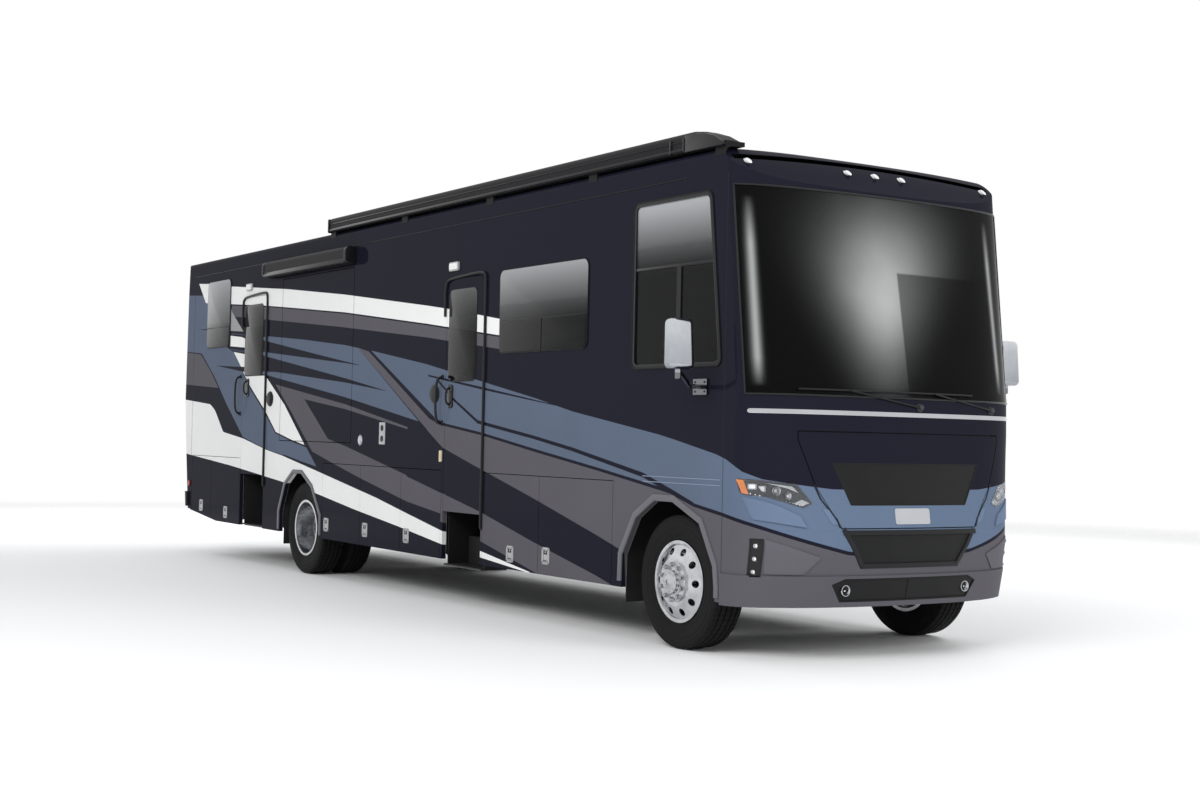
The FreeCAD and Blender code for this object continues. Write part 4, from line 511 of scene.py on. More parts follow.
def mesh_finish():
    """Black woven wire; the gaps between the wires are darker, as painted shade of the hollow behind them."""
    finish = Finish("grille_mesh", 0.55, 0.0, 0.25)
    across = finish.sine(finish.times(finish.plus(finish.axis("Y"), finish.axis("Z")), 900.0))
    along = finish.sine(finish.times(finish.minus(finish.axis("Y"), finish.axis("Z")), 900.0))
    wires = finish.most(across, along)
    cloud = finish.noise(6.0, 4.0)
    share = finish.times(finish.spread(wires, 0.2, 0.9), finish.spread(cloud, 0.3, 0.7, 0.6, 1.0))
    # painted shade: the gaps between the wires are darker than the wires
    finish.set("Base Color", finish.mix(share, shade(10, 10, 10), shade(27, 28, 27)))
    finish.bump(wires, 0.4, 0.001)
    return finish.material


grille_mesh = mesh_finish()
# A brighter copy of the paint for the raised facets of the nose: painted light on them.
lit_facet_paint = coach_paint("coach_paint_facets", painted_light_gain=1.16)


def screen_finish():
    """The windscreen: nearly black glass with a painted reflection, pale and more opaque at the middle and at
    both sides, and dimmer over the lower part of its left half.
    """
    finish = Finish("screen_glass", 0.05, 0.0, 0.05)
    across = finish.axis("Y")
    height = finish.axis("Z")
    # Painted reflection of studio lamps: a soft patch at the middle, dimmed over the lower left part, and
    # narrow upright bands near both sides.
    rise = finish.spread(height, 1.90, 3.20)
    middle = finish.plus(-0.20, finish.times(rise, 0.16))
    reach = finish.plus(0.30, finish.times(rise, 0.34))
    aside = finish.share(finish.minus(across, middle), reach)
    painted_glow = finish.bell(aside, 1.6)
    tall = finish.share(finish.minus(height, 2.62), 0.50)
    painted_glow = finish.times(painted_glow, finish.bell(tall, 1.0))
    painted_glow = finish.times(painted_glow, finish.spread(finish.noise(1.3, 3.0), 0.3, 0.7, 0.55, 0.75))
    panel = finish.times(finish.spread(across, 0.012, 0.028), finish.spread(height, 2.768, 2.752))
    painted_glow = finish.times(painted_glow, finish.minus(1.0, finish.times(panel, 0.65)))
    away = finish.math("ABSOLUTE", finish.plus(across, 0.07))
    painted_streak = finish.share(finish.minus(away, 1.122), 0.026)
    painted_streak = finish.bell(painted_streak, 1.0)
    ends = finish.times(finish.spread(height, 1.90, 2.10), finish.spread(height, 3.24, 2.9))
    painted_streak = finish.times(finish.times(painted_streak, ends), 0.5)
    painted_reflection = finish.most(painted_glow, painted_streak)
    finish.set("Base Color", finish.mix(painted_reflection, shade(10, 10, 11), shade(196, 198, 197)))
    finish.set("Alpha", finish.spread(painted_reflection, 0.0, 0.5, 0.90, 0.97))
    return finish.material


screen_glass = screen_finish()


# dressing of the CAD nodes

def mirror_chrome():
    """Plated shell, lighter towards its top as painted light and darker in cloudy patches, and a coated arm.
    """
    finish = Finish("mirror_chrome", 0.14, 1.0, 0.5)
    cloud = finish.noise(5.0, 4.0)
    # Painted light: the plating is lighter towards the top of the shell.
    rise = finish.spread(finish.axis("Z"), 2.02, 2.35)
    plating_with_painted_light = finish.mix(rise, shade(168, 171, 177), shade(208, 211, 216))
    plating_with_painted_light = finish.mix(finish.spread(cloud, 0.35, 0.65, 0.0, 0.30), plating_with_painted_light, shade(132, 135, 142))
    low = finish.under(finish.axis("Z"), 1.985)
    finish.set("Base Color", finish.mix(low, plating_with_painted_light, shade(120, 122, 126)))
    finish.set("Roughness", finish.spread(cloud, 0.3, 0.7, 0.10, 0.22))
    return finish.material


mirror_plating = mirror_chrome()


def floor_finish():
    """Boards inside, and black ribbed plastic in the step wells, with painted shade between the ribs."""
    finish = Finish("floor_finish", 0.5, 0.0, 0.3)
    boards = finish.noise(60.0, 4.0, 0.6, finish.stretched((6.0, 1.0, 1.0)))
    wood = finish.mix(finish.spread(boards, 0.3, 0.7), shade(104, 90, 76), shade(136, 122, 106))
    ribs = finish.sine(finish.times(finish.axis("X"), 500.0))
    # painted shade: the grooves between the ribs are darker
    dark = finish.mix(finish.spread(ribs, -0.2, 0.4), shade(24, 24, 25), shade(44, 44, 45))
    low = finish.under(finish.axis("Z"), 1.215)
    finish.set("Base Color", finish.mix(low, wood, dark))
    finish.bump(ribs, 0.3, 0.002)
    return finish.material


def marker_finish():
    """Milky clear lenses at the front and red ones behind."""
    finish = Finish("marker_lens", 0.16, 0.0, 0.5)
    fine = finish.noise(300.0, 3.0)
    ahead = finish.over(finish.axis("X"), at(-4.0))
    white_side = finish.mix(fine, shade(212, 214, 214), shade(236, 237, 236))
    red_side = finish.mix(fine, shade(128, 16, 18), shade(160, 24, 24))
    finish.set("Base Color", finish.mix(ahead, red_side, white_side))
    finish.bump(fine, 0.2, 0.0006)
    return finish.material


def dress(material, *names):
    for name in names:
        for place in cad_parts[name].material_slots:
            place.material = material


def with_prefix(prefix):
    return [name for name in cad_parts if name.startswith(prefix)]


dress(painted_wall, "left_wall", "right_wall", "left_room", "right_room")
dress(painted, "front_cap", "rear_cap", "hood", "front_bumper")
dress(painted_roof, "roof")
dress(painted_door, "front_door", "rear_door", *with_prefix("right_bay_door_"),
      *with_prefix("left_bay_door_"))
dress(fixed_glass, "window_glass")
dress(screen_glass, "windscreen")
dress(black_trim, "window_frames", "wipers")
dress(mirror_plating, "mirrors")
dress(awning_case, "awnings")
dress(white_shell, "roof_units")
dress(clear_lens, "headlamps")
dress(marker_finish(), "marker_lamps")
dress(red_lens, "tail_lamps")
dress(frame_black, "chassis_frame", "storage_bays", "rear_bumper")
dress(cast, "front_axle", "rear_axle", "left_knuckle", "right_knuckle", "engine")
dress(tank_grey, "tanks")
dress(floor_finish(), "cabin_floor")
dress(seat_cover, "driver_seat", "passenger_seat")
dress(dash_plastic, "dashboard", "steering_wheel")
dress(flap_rubber, "mud_flaps")
dress(rubber, "front_left_tyre", "front_right_tyre", "rear_left_tyres", "rear_right_tyres")
dress(polished, "front_left_rim", "front_right_rim", "rear_left_rims", "rear_right_rims")


# mesh helpers

def make_piece(name, material, slot, *shapes, body="coach", sharp=35.0):
    """Joins shapes into one named piece that rides on a body."""
    whole = bmesh.new()
    for shape in shapes:
        mesh = bpy.data.meshes.new("joined_shape")
        shape.to_mesh(mesh)
        shape.free()
        whole.from_mesh(mesh)
        bpy.data.meshes.remove(mesh)
    bmesh.ops.recalc_face_normals(whole, faces=whole.faces[:])
    mesh = bpy.data.meshes.new(name)
    whole.to_mesh(mesh)
    whole.free()
    mesh.materials.append(material)
    mesh.shade_smooth()
    mesh.set_sharp_from_angle(angle=math.radians(sharp))
    piece = bpy.data.objects.new(name, mesh)
    bpy.context.scene.collection.objects.link(piece)
    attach(piece, body)
    return piece


def soften(shape, geom, soft, steps=2, affect="EDGES"):
    bmesh.ops.bevel(shape, geom=geom, offset=soft, offset_type="OFFSET", segments=steps, profile=0.5,
                    affect=affect, clamp_overlap=True, material=-1)


def block(first, second, soft=0.0, steps=2):
    """A block between two opposite corners."""
    low = Vector(map(min, first, second))
    high = Vector(map(max, first, second))
    shape = bmesh.new()
    made = bmesh.ops.create_cube(shape, size=1.0)["verts"]
    bmesh.ops.scale(shape, vec=high - low, verts=made)
    bmesh.ops.translate(shape, vec=(low + high) / 2, verts=made)
    if soft:
        soften(shape, shape.edges[:], soft, steps)
    return shape


def flat_face(spots, corner, steps):
    """A flat face with rounded corners."""
    shape = bmesh.new()
    verts = [shape.verts.new(spot) for spot in spots]
    shape.faces.new(verts)
    if corner:
        soften(shape, verts, corner, steps, "VERTICES")
    return shape


def side_face(outline, y, corner):
    return flat_face([(x, y, z) for x, z in outline], corner, 6)


def front_face(outline, corner=0.0):
    return flat_face([(0.0, y, z) for y, z in outline], corner, 4)


def hollowed(shape, width):
    """Leaves a rim of even width of a flat face."""
    inner = shape.faces[:]
    bmesh.ops.inset_region(shape, faces=inner, thickness=width, use_even_offset=True, use_boundary=True)
    bmesh.ops.delete(shape, geom=inner, context="FACES_ONLY")
    return shape


def thickened(shape, step, soft=0.0):
    """Gives flat faces a thickness along a vector and softens the rim of their far side."""
    grown = bmesh.ops.extrude_face_region(shape, geom=shape.faces[:])["geom"]
    moved = [item for item in grown if isinstance(item, bmesh.types.BMVert)]
    far = {item for item in grown if isinstance(item, bmesh.types.BMFace)}
    bmesh.ops.translate(shape, vec=step, verts=moved)
    if soft:
        rim = [edge for face in far for edge in face.edges
               if any(other not in far for other in edge.link_faces)]
        soften(shape, list(set(rim)), soft)
    return shape


def side_plate(outline, y0, y1, corner=0.0, soft=0.0):
    return thickened(side_face(outline, y0, corner), (0, y1 - y0, 0), soft)


def side_ring(outline, y0, y1, corner, width, soft=0.0):
    return thickened(hollowed(side_face(outline, y0, corner), width), (0, y1 - y0, 0), soft)


def moved_ahead(shape, x):
    bmesh.ops.translate(shape, vec=(x, 0, 0), verts=shape.verts[:])
    return shape


def cross_plate(outline, x0, x1, corner=0.0, soft=0.0):
    """A plate with an outline in Y and Z, between two X planes."""
    return thickened(moved_ahead(front_face(outline, corner), x0), (x1 - x0, 0, 0), soft)


def oblong(x0, x1, z0, z1, grow=0.0):
    return ((x0 - grow, z0 - grow), (x1 + grow, z0 - grow), (x1 + grow, z1 + grow), (x0 - grow, z1 + grow))


def coach_oblong(rear, front, low, high, grow=0.0):
    """An oblong on the coach's side, its ends given ahead of the front axle."""
    return oblong(at(rear), at(front), low, high, grow)


def turned(profile, centre, axis, steps=48, closed=False):
    """A shape spun about an axis. The profile gives the radius and the place along the axis."""
    axis = Vector(axis).normalized()
    out = axis.orthogonal().normalized()
    centre = Vector(centre)
    shape = bmesh.new()
    verts = [shape.verts.new(centre + out * radius + axis * along) for radius, along in profile]
    pairs = list(zip(verts, verts[1:]))
    if closed:
        pairs.append((verts[-1], verts[0]))
    edges = [shape.edges.new(pair) for pair in pairs]
    bmesh.ops.spin(shape, geom=verts + edges, cent=centre, axis=axis, angle=math.tau, steps=steps,
                   use_merge=True)
    bmesh.ops.remove_doubles(shape, verts=shape.verts[:], dist=1e-5)
    return shape


def bent_rod(points, thick, smooth=True):
    """A round bar along points, with rounded bends and closed ends."""
    curve = bpy.data.curves.new("bent_rod", "CURVE")
    curve.dimensions = "3D"
    curve.bevel_depth = thick
    curve.bevel_resolution = 3
    curve.use_fill_caps = True
    line = curve.splines.new("NURBS" if smooth else "POLY")
    line.points.add(len(points) - 1)
    for spot, point in zip(line.points, points):
        spot.co = (*point, 1.0)
    if smooth:
        line.order_u = 3
        line.use_endpoint_u = True
        line.resolution_u = 6
    holder = bpy.data.objects.new("bent_rod", curve)
    mesh = bpy.data.meshes.new_from_object(holder)
    shape = bmesh.new()
    shape.from_mesh(mesh)
    bpy.data.objects.remove(holder)
    bpy.data.curves.remove(curve)
    bpy.data.meshes.remove(mesh)
    bmesh.ops.remove_doubles(shape, verts=shape.verts[:], dist=1e-5)
    return shape


def hexagon(centre, axis, radius, depth):
    """A nut with a chamfered end, pointing along an axis."""
    shape = bmesh.new()
    bmesh.ops.create_cone(shape, cap_ends=True, segments=6, radius1=radius, radius2=radius, depth=depth)
    top = [edge for edge in shape.edges if all(vert.co.z > 0 for vert in edge.verts)]
    soften(shape, top, radius * 0.22)
    turn = Vector((0, 0, 1)).rotation_difference(Vector(axis)).to_matrix().to_4x4()
    place = Matrix.Translation(Vector(centre) + Vector(axis) * depth / 2) @ turn
    bmesh.ops.transform(shape, matrix=place, verts=shape.verts[:])
    return shape


def round_spots(centre, radius, y, count, start=0.0):
    """Places evenly round a wheel's axle, in a plane across it."""
    for i in range(count):
        angle = math.tau * (i + start) / count
        yield centre + radius * math.cos(angle), y, tyre_radius + radius * math.sin(angle)


# wheels

tyre_half_profile = (
    (0.2990, 0.1040), (0.3060, 0.1130), (0.3170, 0.1172), (0.3215, 0.1160), (0.3240, 0.1172),
    (0.3420, 0.1205),
    (0.3440, 0.1218), (0.3465, 0.1218), (0.3485, 0.1210), (0.3700, 0.1250), (0.3960, 0.1262),
    (0.3985, 0.1275),
    (0.4030, 0.1275), (0.4055, 0.1262), (0.4300, 0.1255), (0.4320, 0.1262), (0.4345, 0.1262),
    (0.4365, 0.1250),
    (0.4520, 0.1222), (0.4545, 0.1232), (0.4600, 0.1226), (0.4760, 0.1180), (0.4812, 0.1135),
    (0.4838, 0.1075),
    (0.4850, 0.0785), (0.4838, 0.0768), (0.4720, 0.0752), (0.4720, 0.0690), (0.4842, 0.0668),
    (0.4860, 0.0655),
    (0.4880, 0.0320), (0.4870, 0.0304), (0.4750, 0.0288), (0.4750, 0.0225), (0.4875, 0.0205),
    (0.4890, 0.0190),
    (0.4893, 0.0),
)
dual_spacing = 0.330
outer_tyre_middle = 1.232 - 0.1275
disc_circle = 0.127


def tyre_profile(middle):
    outer = [(radius, middle + along) for radius, along in tyre_half_profile]
    inner = [(radius, middle - along) for radius, along in reversed(tyre_half_profile[:-1])]
    return outer + inner


def tyre_finish():
    """Rubber with shoulder notches, fine cuts across the ribs, and rings and dust on the sidewall; painted
    shade darkens the notches and cuts.
    """
    finish = Finish("tyre_tread", 0.70, 0.0, 0.14)
    along, rise, radius = finish.from_axle()
    turn = finish.math("ARCTAN2", rise, along)
    notch = finish.sine(finish.times(turn, 70.0))
    notch = finish.spread(notch, 0.55, 0.8, 0.0, 1.0)
    shoulder = finish.spread(radius, 0.462, 0.466)
    cuts = finish.spread(finish.sine(finish.times(turn, 210.0)), 0.8, 0.95, 0.0, 0.35)
    tread = finish.times(finish.most(notch, cuts), shoulder)
    rings = finish.times(finish.sine(finish.times(radius, 1400.0)),
                        finish.under(radius, 0.395))
    rings = finish.times(rings, 0.06)
    grain = finish.times(finish.noise(420.0, 3.0), 0.12)
    height = finish.plus(finish.minus(grain, tread), rings)
    finish.bump(height, 0.9, 0.006)
    dust = finish.spread(finish.noise(9.0, 5.0, 0.65), 0.35, 0.75)
    colour = finish.mix(dust, shade(20, 20, 21), shade(31, 31, 30))
    # painted shade: the notches and cuts are darker
    colour = finish.mix(finish.times(tread, 0.75), colour, shade(16, 16, 16))
    finish.set("Base Color", colour)
    finish.set("Roughness", finish.spread(dust, 0.0, 1.0, 0.62, 0.85))
    return finish.material


def rim_finish():
    """Polished aluminium, brushed round the axle, a little duller in cloudy patches."""
    finish = Finish("rim_metal", 0.2, 1.0, 0.5)
    radius = finish.from_axle()[2]
    rings = finish.sine(finish.times(radius, 700.0))
    cloud = finish.noise(9.0, 3.0)
    height = finish.plus(finish.times(rings, 0.10), finish.times(cloud, 0.9))
    finish.bump(height, 0.03, 0.0012)
    finish.set("Base Color", finish.mix(finish.spread(cloud, 0.3, 0.7), shade(176, 177, 181),
                                        shade(214, 215, 217)))
    finish.set("Roughness", finish.spread(cloud, 0.3, 0.7, 0.16, 0.30))
    return finish.material


tyre_black = tyre_finish()
rim_metal = rim_finish()


def make_wheel(side, axle, body, tyre_node, rim_node, twin):
    """Tyres, nuts, hub cap, rim lip and valve of one corner."""
    word = tyre_node.rsplit("_", 1)[0]
    across = (0, side, 0)
    middle = (axle, 0, tyre_radius)
    places = (outer_tyre_middle, outer_tyre_middle - dual_spacing) if twin else (outer_tyre_middle,)
    piece = make_piece(word + "_tread", tyre_black, "tyre_rubber",
                       *[turned(tyre_profile(place), middle, across, 112, closed=True) for place in places],
                       body=body, sharp=30.0)
    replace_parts(piece, tyre_node)
    face = 0.9395 + 0.022 if twin else 1.237 + 0.022
    nuts = []
    for spot in round_spots(axle, disc_circle, side * (face + 0.012), 10, 0.5):
        nuts += [turned(((0.0205, 0.0), (0.0205, 0.003), (0.0175, 0.004)), spot, across, 16),
                 hexagon(spot, across, 0.0165, 0.030),
                 turned(((0.0085, 0.0), (0.0085, 0.034), (0.006, 0.038), (0.0, 0.0385)), spot, across, 12)]
    make_piece(word + "_wheel_nuts", chrome, "polished_rim", *nuts, body=body)
    if twin:
        end = face + 0.135
        profile = ((0.0, end + 0.006), (0.03, end + 0.006), (0.034, end + 0.002), (0.072, end + 0.002),
                   (0.086, end - 0.006), (0.0875, end - 0.012), (0.0875, end - 0.110), (0.094, end - 0.114),
                   (0.102, end - 0.116), (0.102, face + 0.0125))
    else:
        end = face + 0.046
        profile = ((0.0, end + 0.012), (0.018, end + 0.011), (0.022, end + 0.006), (0.040, end + 0.004),
                   (0.058, end - 0.001), (0.074, end - 0.009), (0.083, end - 0.017), (0.0865, end - 0.026),
                   (0.0865, end - 0.030), (0.093, end - 0.032), (0.101, end - 0.033), (0.101, face + 0.0125))
    screws = [hexagon(spot, across, 0.006, 0.008) for spot in round_spots(axle, 0.067, side * (end - 0.008),
                                                                          8)]
    make_piece(word + "_hub_cap", chrome, "polished_rim", turned(profile, middle, across, 64), *screws,
               body=body, sharp=50.0)
    edge = outer_tyre_middle + 0.116
    lip = ((0.2750, edge), (0.2985, edge), (0.2995, edge + 0.001), (0.2985, edge + 0.003),
           (0.290, edge + 0.0042),
           (0.2765, edge + 0.0030))
    make_piece(word + "_rim_lip", rim_metal, "polished_rim", turned(lip, middle, across, 96, closed=True),
               body=body, sharp=50.0)
    stem_y = (face + 0.004) * side
    stem = ((axle, stem_y, tyre_radius + 0.268), (axle, stem_y + side * 0.02, tyre_radius + 0.262),
            (axle, stem_y + side * 0.045, tyre_radius + 0.238))
    make_piece(word + "_valve_stem", cast, "cast_steel", bent_rod(stem, 0.0045), body=body)
    dress(rim_metal, rim_node)


for side, hand in ((1.0, "left"), (-1.0, "right")):
    word = "front_" + hand
    make_wheel(side, front_axle, word + "_wheel", word + "_tyre", word + "_rim", False)
for side, hand in ((1.0, "left"), (-1.0, "right")):
    word = "rear_" + hand
    make_wheel(side, rear_axle, word + "_wheels", word + "_tyres", word + "_rims", True)


# windows

window_face = half_width + 0.007


def window_glazing():
    """Flush panes that cover the frames of the fixed windows, with their dark divider lines."""
    panes = []
    lines = []
    windows = (
        (-1.0, -9.900, -9.125, 2.505, 3.312), (-1.0, -2.612, -1.200, 2.220, 2.938),
        (1.0, -9.900, -9.125, 2.505, 3.312), (1.0, -8.850, -7.900, 2.505, 3.312),
    )
    face = window_face
    for side, rear, front, bottom, top in windows:
        outline = coach_oblong(rear, front, bottom, top, -0.004)
        panes.append(side_plate(outline, side * face, side * (face + 0.005), 0.066, 0.0015))
        outline = coach_oblong(rear, front, bottom, top, -0.001)
        lines.append(side_ring(outline, side * (face - 0.002), side * (face + 0.003), 0.069, 0.006, 0.001))
        proud = side * (face + 0.0065)
        if front == -1.200:
            lines.append(block((at(rear) + 0.01, proud - 0.002, 2.494), (at(front) - 0.01, proud, 2.506),
                               0.0006))
            lines.append(block((at(-1.918), proud - 0.002, bottom + 0.01), (at(-1.907), proud, 2.494),
                               0.0006))
        elif front == -9.125:
            lines.append(block((at(rear) + 0.01, proud - 0.002, 2.742), (at(front) - 0.01, proud, 2.750),
                               0.0006))
    make_piece("side_window_panes", fixed_glass, "dark_glass", *panes)
    make_piece("side_window_lines", black_trim, "black_trim", *lines)


def cab_window_trim():
    """A thin grey outer line and a black inner gasket round each cab window, with the bar's slide rails."""
    grey_line = []
    gasket = []
    corners = ((at(-0.575), 2.038), (at(0.560), 2.038), (at(0.412), 3.300), (at(-0.575), 3.300))
    inner = ((at(-0.550), 2.063), (at(0.533), 2.063), (at(0.388), 3.275), (at(-0.550), 3.275))
    face = window_face
    for side in (-1.0, 1.0):
        grey_line.append(side_ring(corners, side * (half_width + 0.001), side * (face + 0.0025), 0.070, 0.010,
                                   0.002))
        gasket.append(side_ring(inner, side * (face - 0.012), side * (face + 0.001), 0.050, 0.012, 0.002))
        rail = side * (face - 0.002)
        gasket.append(block((at(-0.54), rail, 2.783), (at(0.44), rail - side * 0.006, 2.797), 0.0015))
    make_piece("cab_window_edge", awning_case, "black_trim", *grey_line)
    make_piece("cab_window_gasket", black_gloss, "black_trim", *gasket)


window_glazing()
cab_window_trim()


# entry doors

wall = -half_width
to_kerb = (0, -1, 0)


def entry_door(word, rear, front, bottom, top, pane_front, pane_bottom, pane_top, handle, disc, grab, porch):
    """Glass, handle and edge trim of a door, with the rail, grab bar, lock disc and porch lamp beside it."""
    outline = oblong(at(rear) + 0.058, at(front) - pane_front, pane_bottom, pane_top, 0.005)
    make_piece(word + "_pane", door_glass, "dark_glass",
               side_plate(outline, wall - 0.0005, wall - 0.0055, 0.065, 0.002), body=word)
    edge = oblong(outline[0][0], outline[1][0], pane_bottom - 0.005, pane_top + 0.005, 0.004)
    make_piece(word + "_pane_edge", black_trim, "black_trim",
               side_ring(edge, wall + 0.001, wall - 0.004, 0.069, 0.007, 0.001), body=word)
    x, z = at(handle[0]), handle[1]
    grip_x = x - 0.012
    grip = ((grip_x, wall - 0.008, z + 0.08), (grip_x, wall - 0.045, z + 0.06), (grip_x, wall - 0.048, z),
            (grip_x, wall - 0.045, z - 0.06), (grip_x, wall - 0.008, z - 0.08))
    barrel = (x + 0.024, wall, z + 0.055)
    make_piece(word + "_pull_handle", black_gloss, "black_trim",
               side_plate(oblong(x - 0.045, x + 0.045, z - 0.105, z + 0.105), wall + 0.002, wall - 0.012,
                          0.03, 0.004),
               bent_rod(grip, 0.010),
               turned(((0.0, 0.018), (0.013, 0.018), (0.015, 0.015), (0.015, 0.0)), barrel, to_kerb, 20),
               body=word)
    make_piece(word + "_lock_barrel", chrome, "chrome_shell",
               turned(((0.0, 0.0195), (0.009, 0.0195), (0.010, 0.018)), barrel, to_kerb, 20), body=word)
    gap = 0.016
    corner = 0.12
    ahead, behind = at(front), at(rear)
    path = ((ahead + gap, bottom - 0.10), (ahead + gap, bottom + 0.3), (ahead + gap, top - corner - 0.02),
            (ahead + gap, top + gap - 0.015), (ahead - 0.05, top + gap + 0.004),
            (ahead - corner - 0.05, top + gap + 0.004),
            (behind + corner + 0.05, top + gap - 0.012), (behind + 0.01, top + gap - 0.03),
            (behind - gap, top - 0.10),
            (behind - gap, top - 0.20), (behind - gap, top - 0.34))
    make_piece(word + "_frame_rail", black_trim, "black_trim",
               bent_rod([(x, wall - 0.010, z) for x, z in path], 0.0135))
    make_piece(word + "_hinge_cover", black_trim, "black_trim",
               block((ahead + 0.003, wall - 0.014, bottom - 0.12), (ahead + 0.030, wall + 0.001, top - 0.12),
                     0.004))
    x, low, high = at(grab[0]), grab[1], grab[2]
    bar = ((0.004, high), (-0.045, high), (-0.068, high - 0.07), (-0.072, (low + high) / 2),
           (-0.068, low + 0.07),
           (-0.045, low), (0.004, low))
    feet = [turned(((0.026, 0.0), (0.026, 0.006), (0.018, 0.012)), (x, wall, z), to_kerb, 24)
            for z in (low, high)]
    make_piece(word + "_grab_bar", black_gloss, "black_trim",
               bent_rod([(x, wall + out, z) for out, z in bar], 0.0125),
               *feet)
    spot = (at(disc[0]), wall, disc[1])
    make_piece(word + "_round_cover", black_trim, "black_trim",
               turned(((0.0, 0.030), (0.045, 0.029), (0.066, 0.024), (0.078, 0.014), (0.081, 0.0)), spot,
                      to_kerb, 40),
               turned(((0.084, 0.0), (0.086, 0.004), (0.084, 0.008), (0.080, 0.010)), spot, to_kerb, 40))
    x, z = at(porch[0]), porch[1]
    make_piece(word + "_porch_lamp_rim", latch_grey, "clear_lens",
               side_plate(oblong(x, x + 0.175, z, z + 0.082), wall + 0.001, wall - 0.020, 0.016, 0.005))
    make_piece(word + "_porch_lamp_lens", milk_lens, "clear_lens",
               side_plate(oblong(x + 0.014, x + 0.161, z + 0.012, z + 0.070), wall - 0.012, wall - 0.028,
                          0.012, 0.006))


entry_door("front_door", -3.600, -2.880, 0.822, 2.930, 0.155, 2.005, 2.820, (-3.49, 1.865), (-3.80, 1.89),
           (-3.655, 1.625, 2.04), (-3.55, 2.995))
entry_door("rear_door", -8.680, -7.960, 1.010, 3.060, 0.115, 2.150, 2.955, (-8.51, 2.01), (-7.81, 1.875),
           (-8.735, 1.71, 2.14), (-8.60, 3.13))


# small fittings of the sides

def side_fittings():
    """Paddle latches, filler cap, connection plate, marker lamps and the body line."""
    latches = (
        ("right_bay_door_tail", -9.97, 0.59), ("right_bay_door_rear", -9.13, 0.545),
        ("right_bay_door_third", -6.185, 0.56), ("right_bay_door_fourth", -5.24, 0.56),
        ("right_bay_door_fifth", -4.325, 0.56), ("right_bay_door_sixth", -2.355, 0.525),
        ("right_bay_door_front", -1.77, 0.55), ("left_bay_door_rear", -9.60, 0.58),
        ("left_bay_door_middle", -6.10, 0.56),
        ("left_bay_door_middle", -3.85, 0.56), ("left_bay_door_front", -2.95, 0.54),
        ("left_bay_door_front", -1.05, 0.54),
    )
    for i, (body, place, z) in enumerate(latches):
        side = 1.0 if body.startswith("left") else -1.0
        y = side * half_width
        x = at(place)
        make_piece(body + "_latch_%d" % i, latch_grey, "chrome_shell",
                   side_ring(oblong(x - 0.058, x + 0.058, z - 0.070, z + 0.070), y - side * 0.001,
                             y + side * 0.007, 0.016,
                             0.026, 0.003), body=body)
        make_piece(body + "_latch_cup_%d" % i, black_trim, "black_trim",
                   side_plate(oblong(x - 0.036, x + 0.036, z - 0.048, z + 0.048), y - side * 0.001,
                              y + side * 0.002, 0.01),
                   body=body)
        make_piece(body + "_latch_paddle_%d" % i, latch_grey, "chrome_shell",
                   side_plate(oblong(x - 0.028, x + 0.028, z - 0.036, z + 0.012), y, y + side * 0.006, 0.008,
                              0.002),
                   turned(((0.0, 0.007), (0.008, 0.007), (0.009, 0.005), (0.009, 0.0)), (x, y, z + 0.031),
                          (0, side, 0), 16),
                   body=body)
    spot = (at(-5.40), wall, 1.445)
    make_piece("filler_cap", chrome, "chrome_shell",
               turned(((0.0, 0.014), (0.030, 0.013), (0.041, 0.009), (0.045, 0.0)), spot, to_kerb, 32),
               turned(((0.050, 0.0), (0.052, 0.003), (0.046, 0.006)), spot, to_kerb, 32))
    make_piece("connection_plate", latch_grey, "chrome_shell",
               side_plate(coach_oblong(-4.96, -4.83, 1.41, 1.625), wall + 0.001, wall - 0.006, 0.012, 0.002))
    socket = ((0.0, 0.0075), (0.022, 0.0075), (0.026, 0.0095), (0.030, 0.0085), (0.030, 0.0))
    make_piece("connection_sockets", black_trim, "black_trim",
               *[turned(socket, (at(-4.895), wall, z), to_kerb, 28) for z in (1.465, 1.570)])
    make_piece("side_marker_lamp", cream_lens, "amber_lens",
               side_plate(coach_oblong(-3.675, -3.632, 1.27, 1.375), wall + 0.001, wall - 0.014, 0.014,
                          0.004))
    line = [block((at(-0.40), y, z - 0.003), (at(0.56), y + math.copysign(0.0025, y), z + 0.003), 0.001)
            for y in (-half_width, half_width) for z in (1.245, 1.205)]
    make_piece("body_line", pale_edge, "coach_paint", *line)


side_fittings()


# skin of the nose

nose_seam = 0.590
nose_depth = 0.560
nose_side_shares = (1.0, 1.0, 0.82, 0.45, 0.0)
nose_levels = (
    (0.380, (0.06, 0.29, 0.60, 0.84, 0.87)),
    (0.600, (0.10, 0.36, 0.71, 0.92, 0.95)),
    (0.800, (0.12, 0.40, 0.78, 0.975, 1.0125)),
    (0.915, (0.13, 0.40, 0.785, 0.97, 1.0)),
    (1.090, (0.15, 0.38, 0.79, 0.91, 0.955)),
    (1.400, (0.19, 0.385, 0.775, 0.875, 0.93)),
    (1.602, (0.21, 0.405, 0.75, 0.85, 0.91)),
    (1.732, (0.22, 0.405, 0.73, 0.83, 0.89)),
    (1.848, (0.24, 0.405, 0.70, 0.80, 0.86)),
    (3.313, (0.0, 0.11, 0.27, 0.36, 0.39)),
    (3.660, (-0.03, 0.03, 0.19, 0.28, 0.31)),
)
section_knots = (0, 0, 0, 0, 1, 2, 3, 4, 5, 6, 6, 6, 6)
section_end = 6.0


def nose_poles(z):
    """Control points of the nose's plan at a height, from the left side to the right."""
    for (low, first), (high, second) in zip(nose_levels, nose_levels[1:]):
        if z <= high:
            break
    part = (z - low) / (high - low)
    half = [Vector((at(nose_seam + nose_depth * (a + (b - a) * part)), half_width * side, z))
            for side, a, b in zip(nose_side_shares, first, second)]
    return half + [Vector((p.x, -p.y, p.z)) for p in half[-2::-1]]


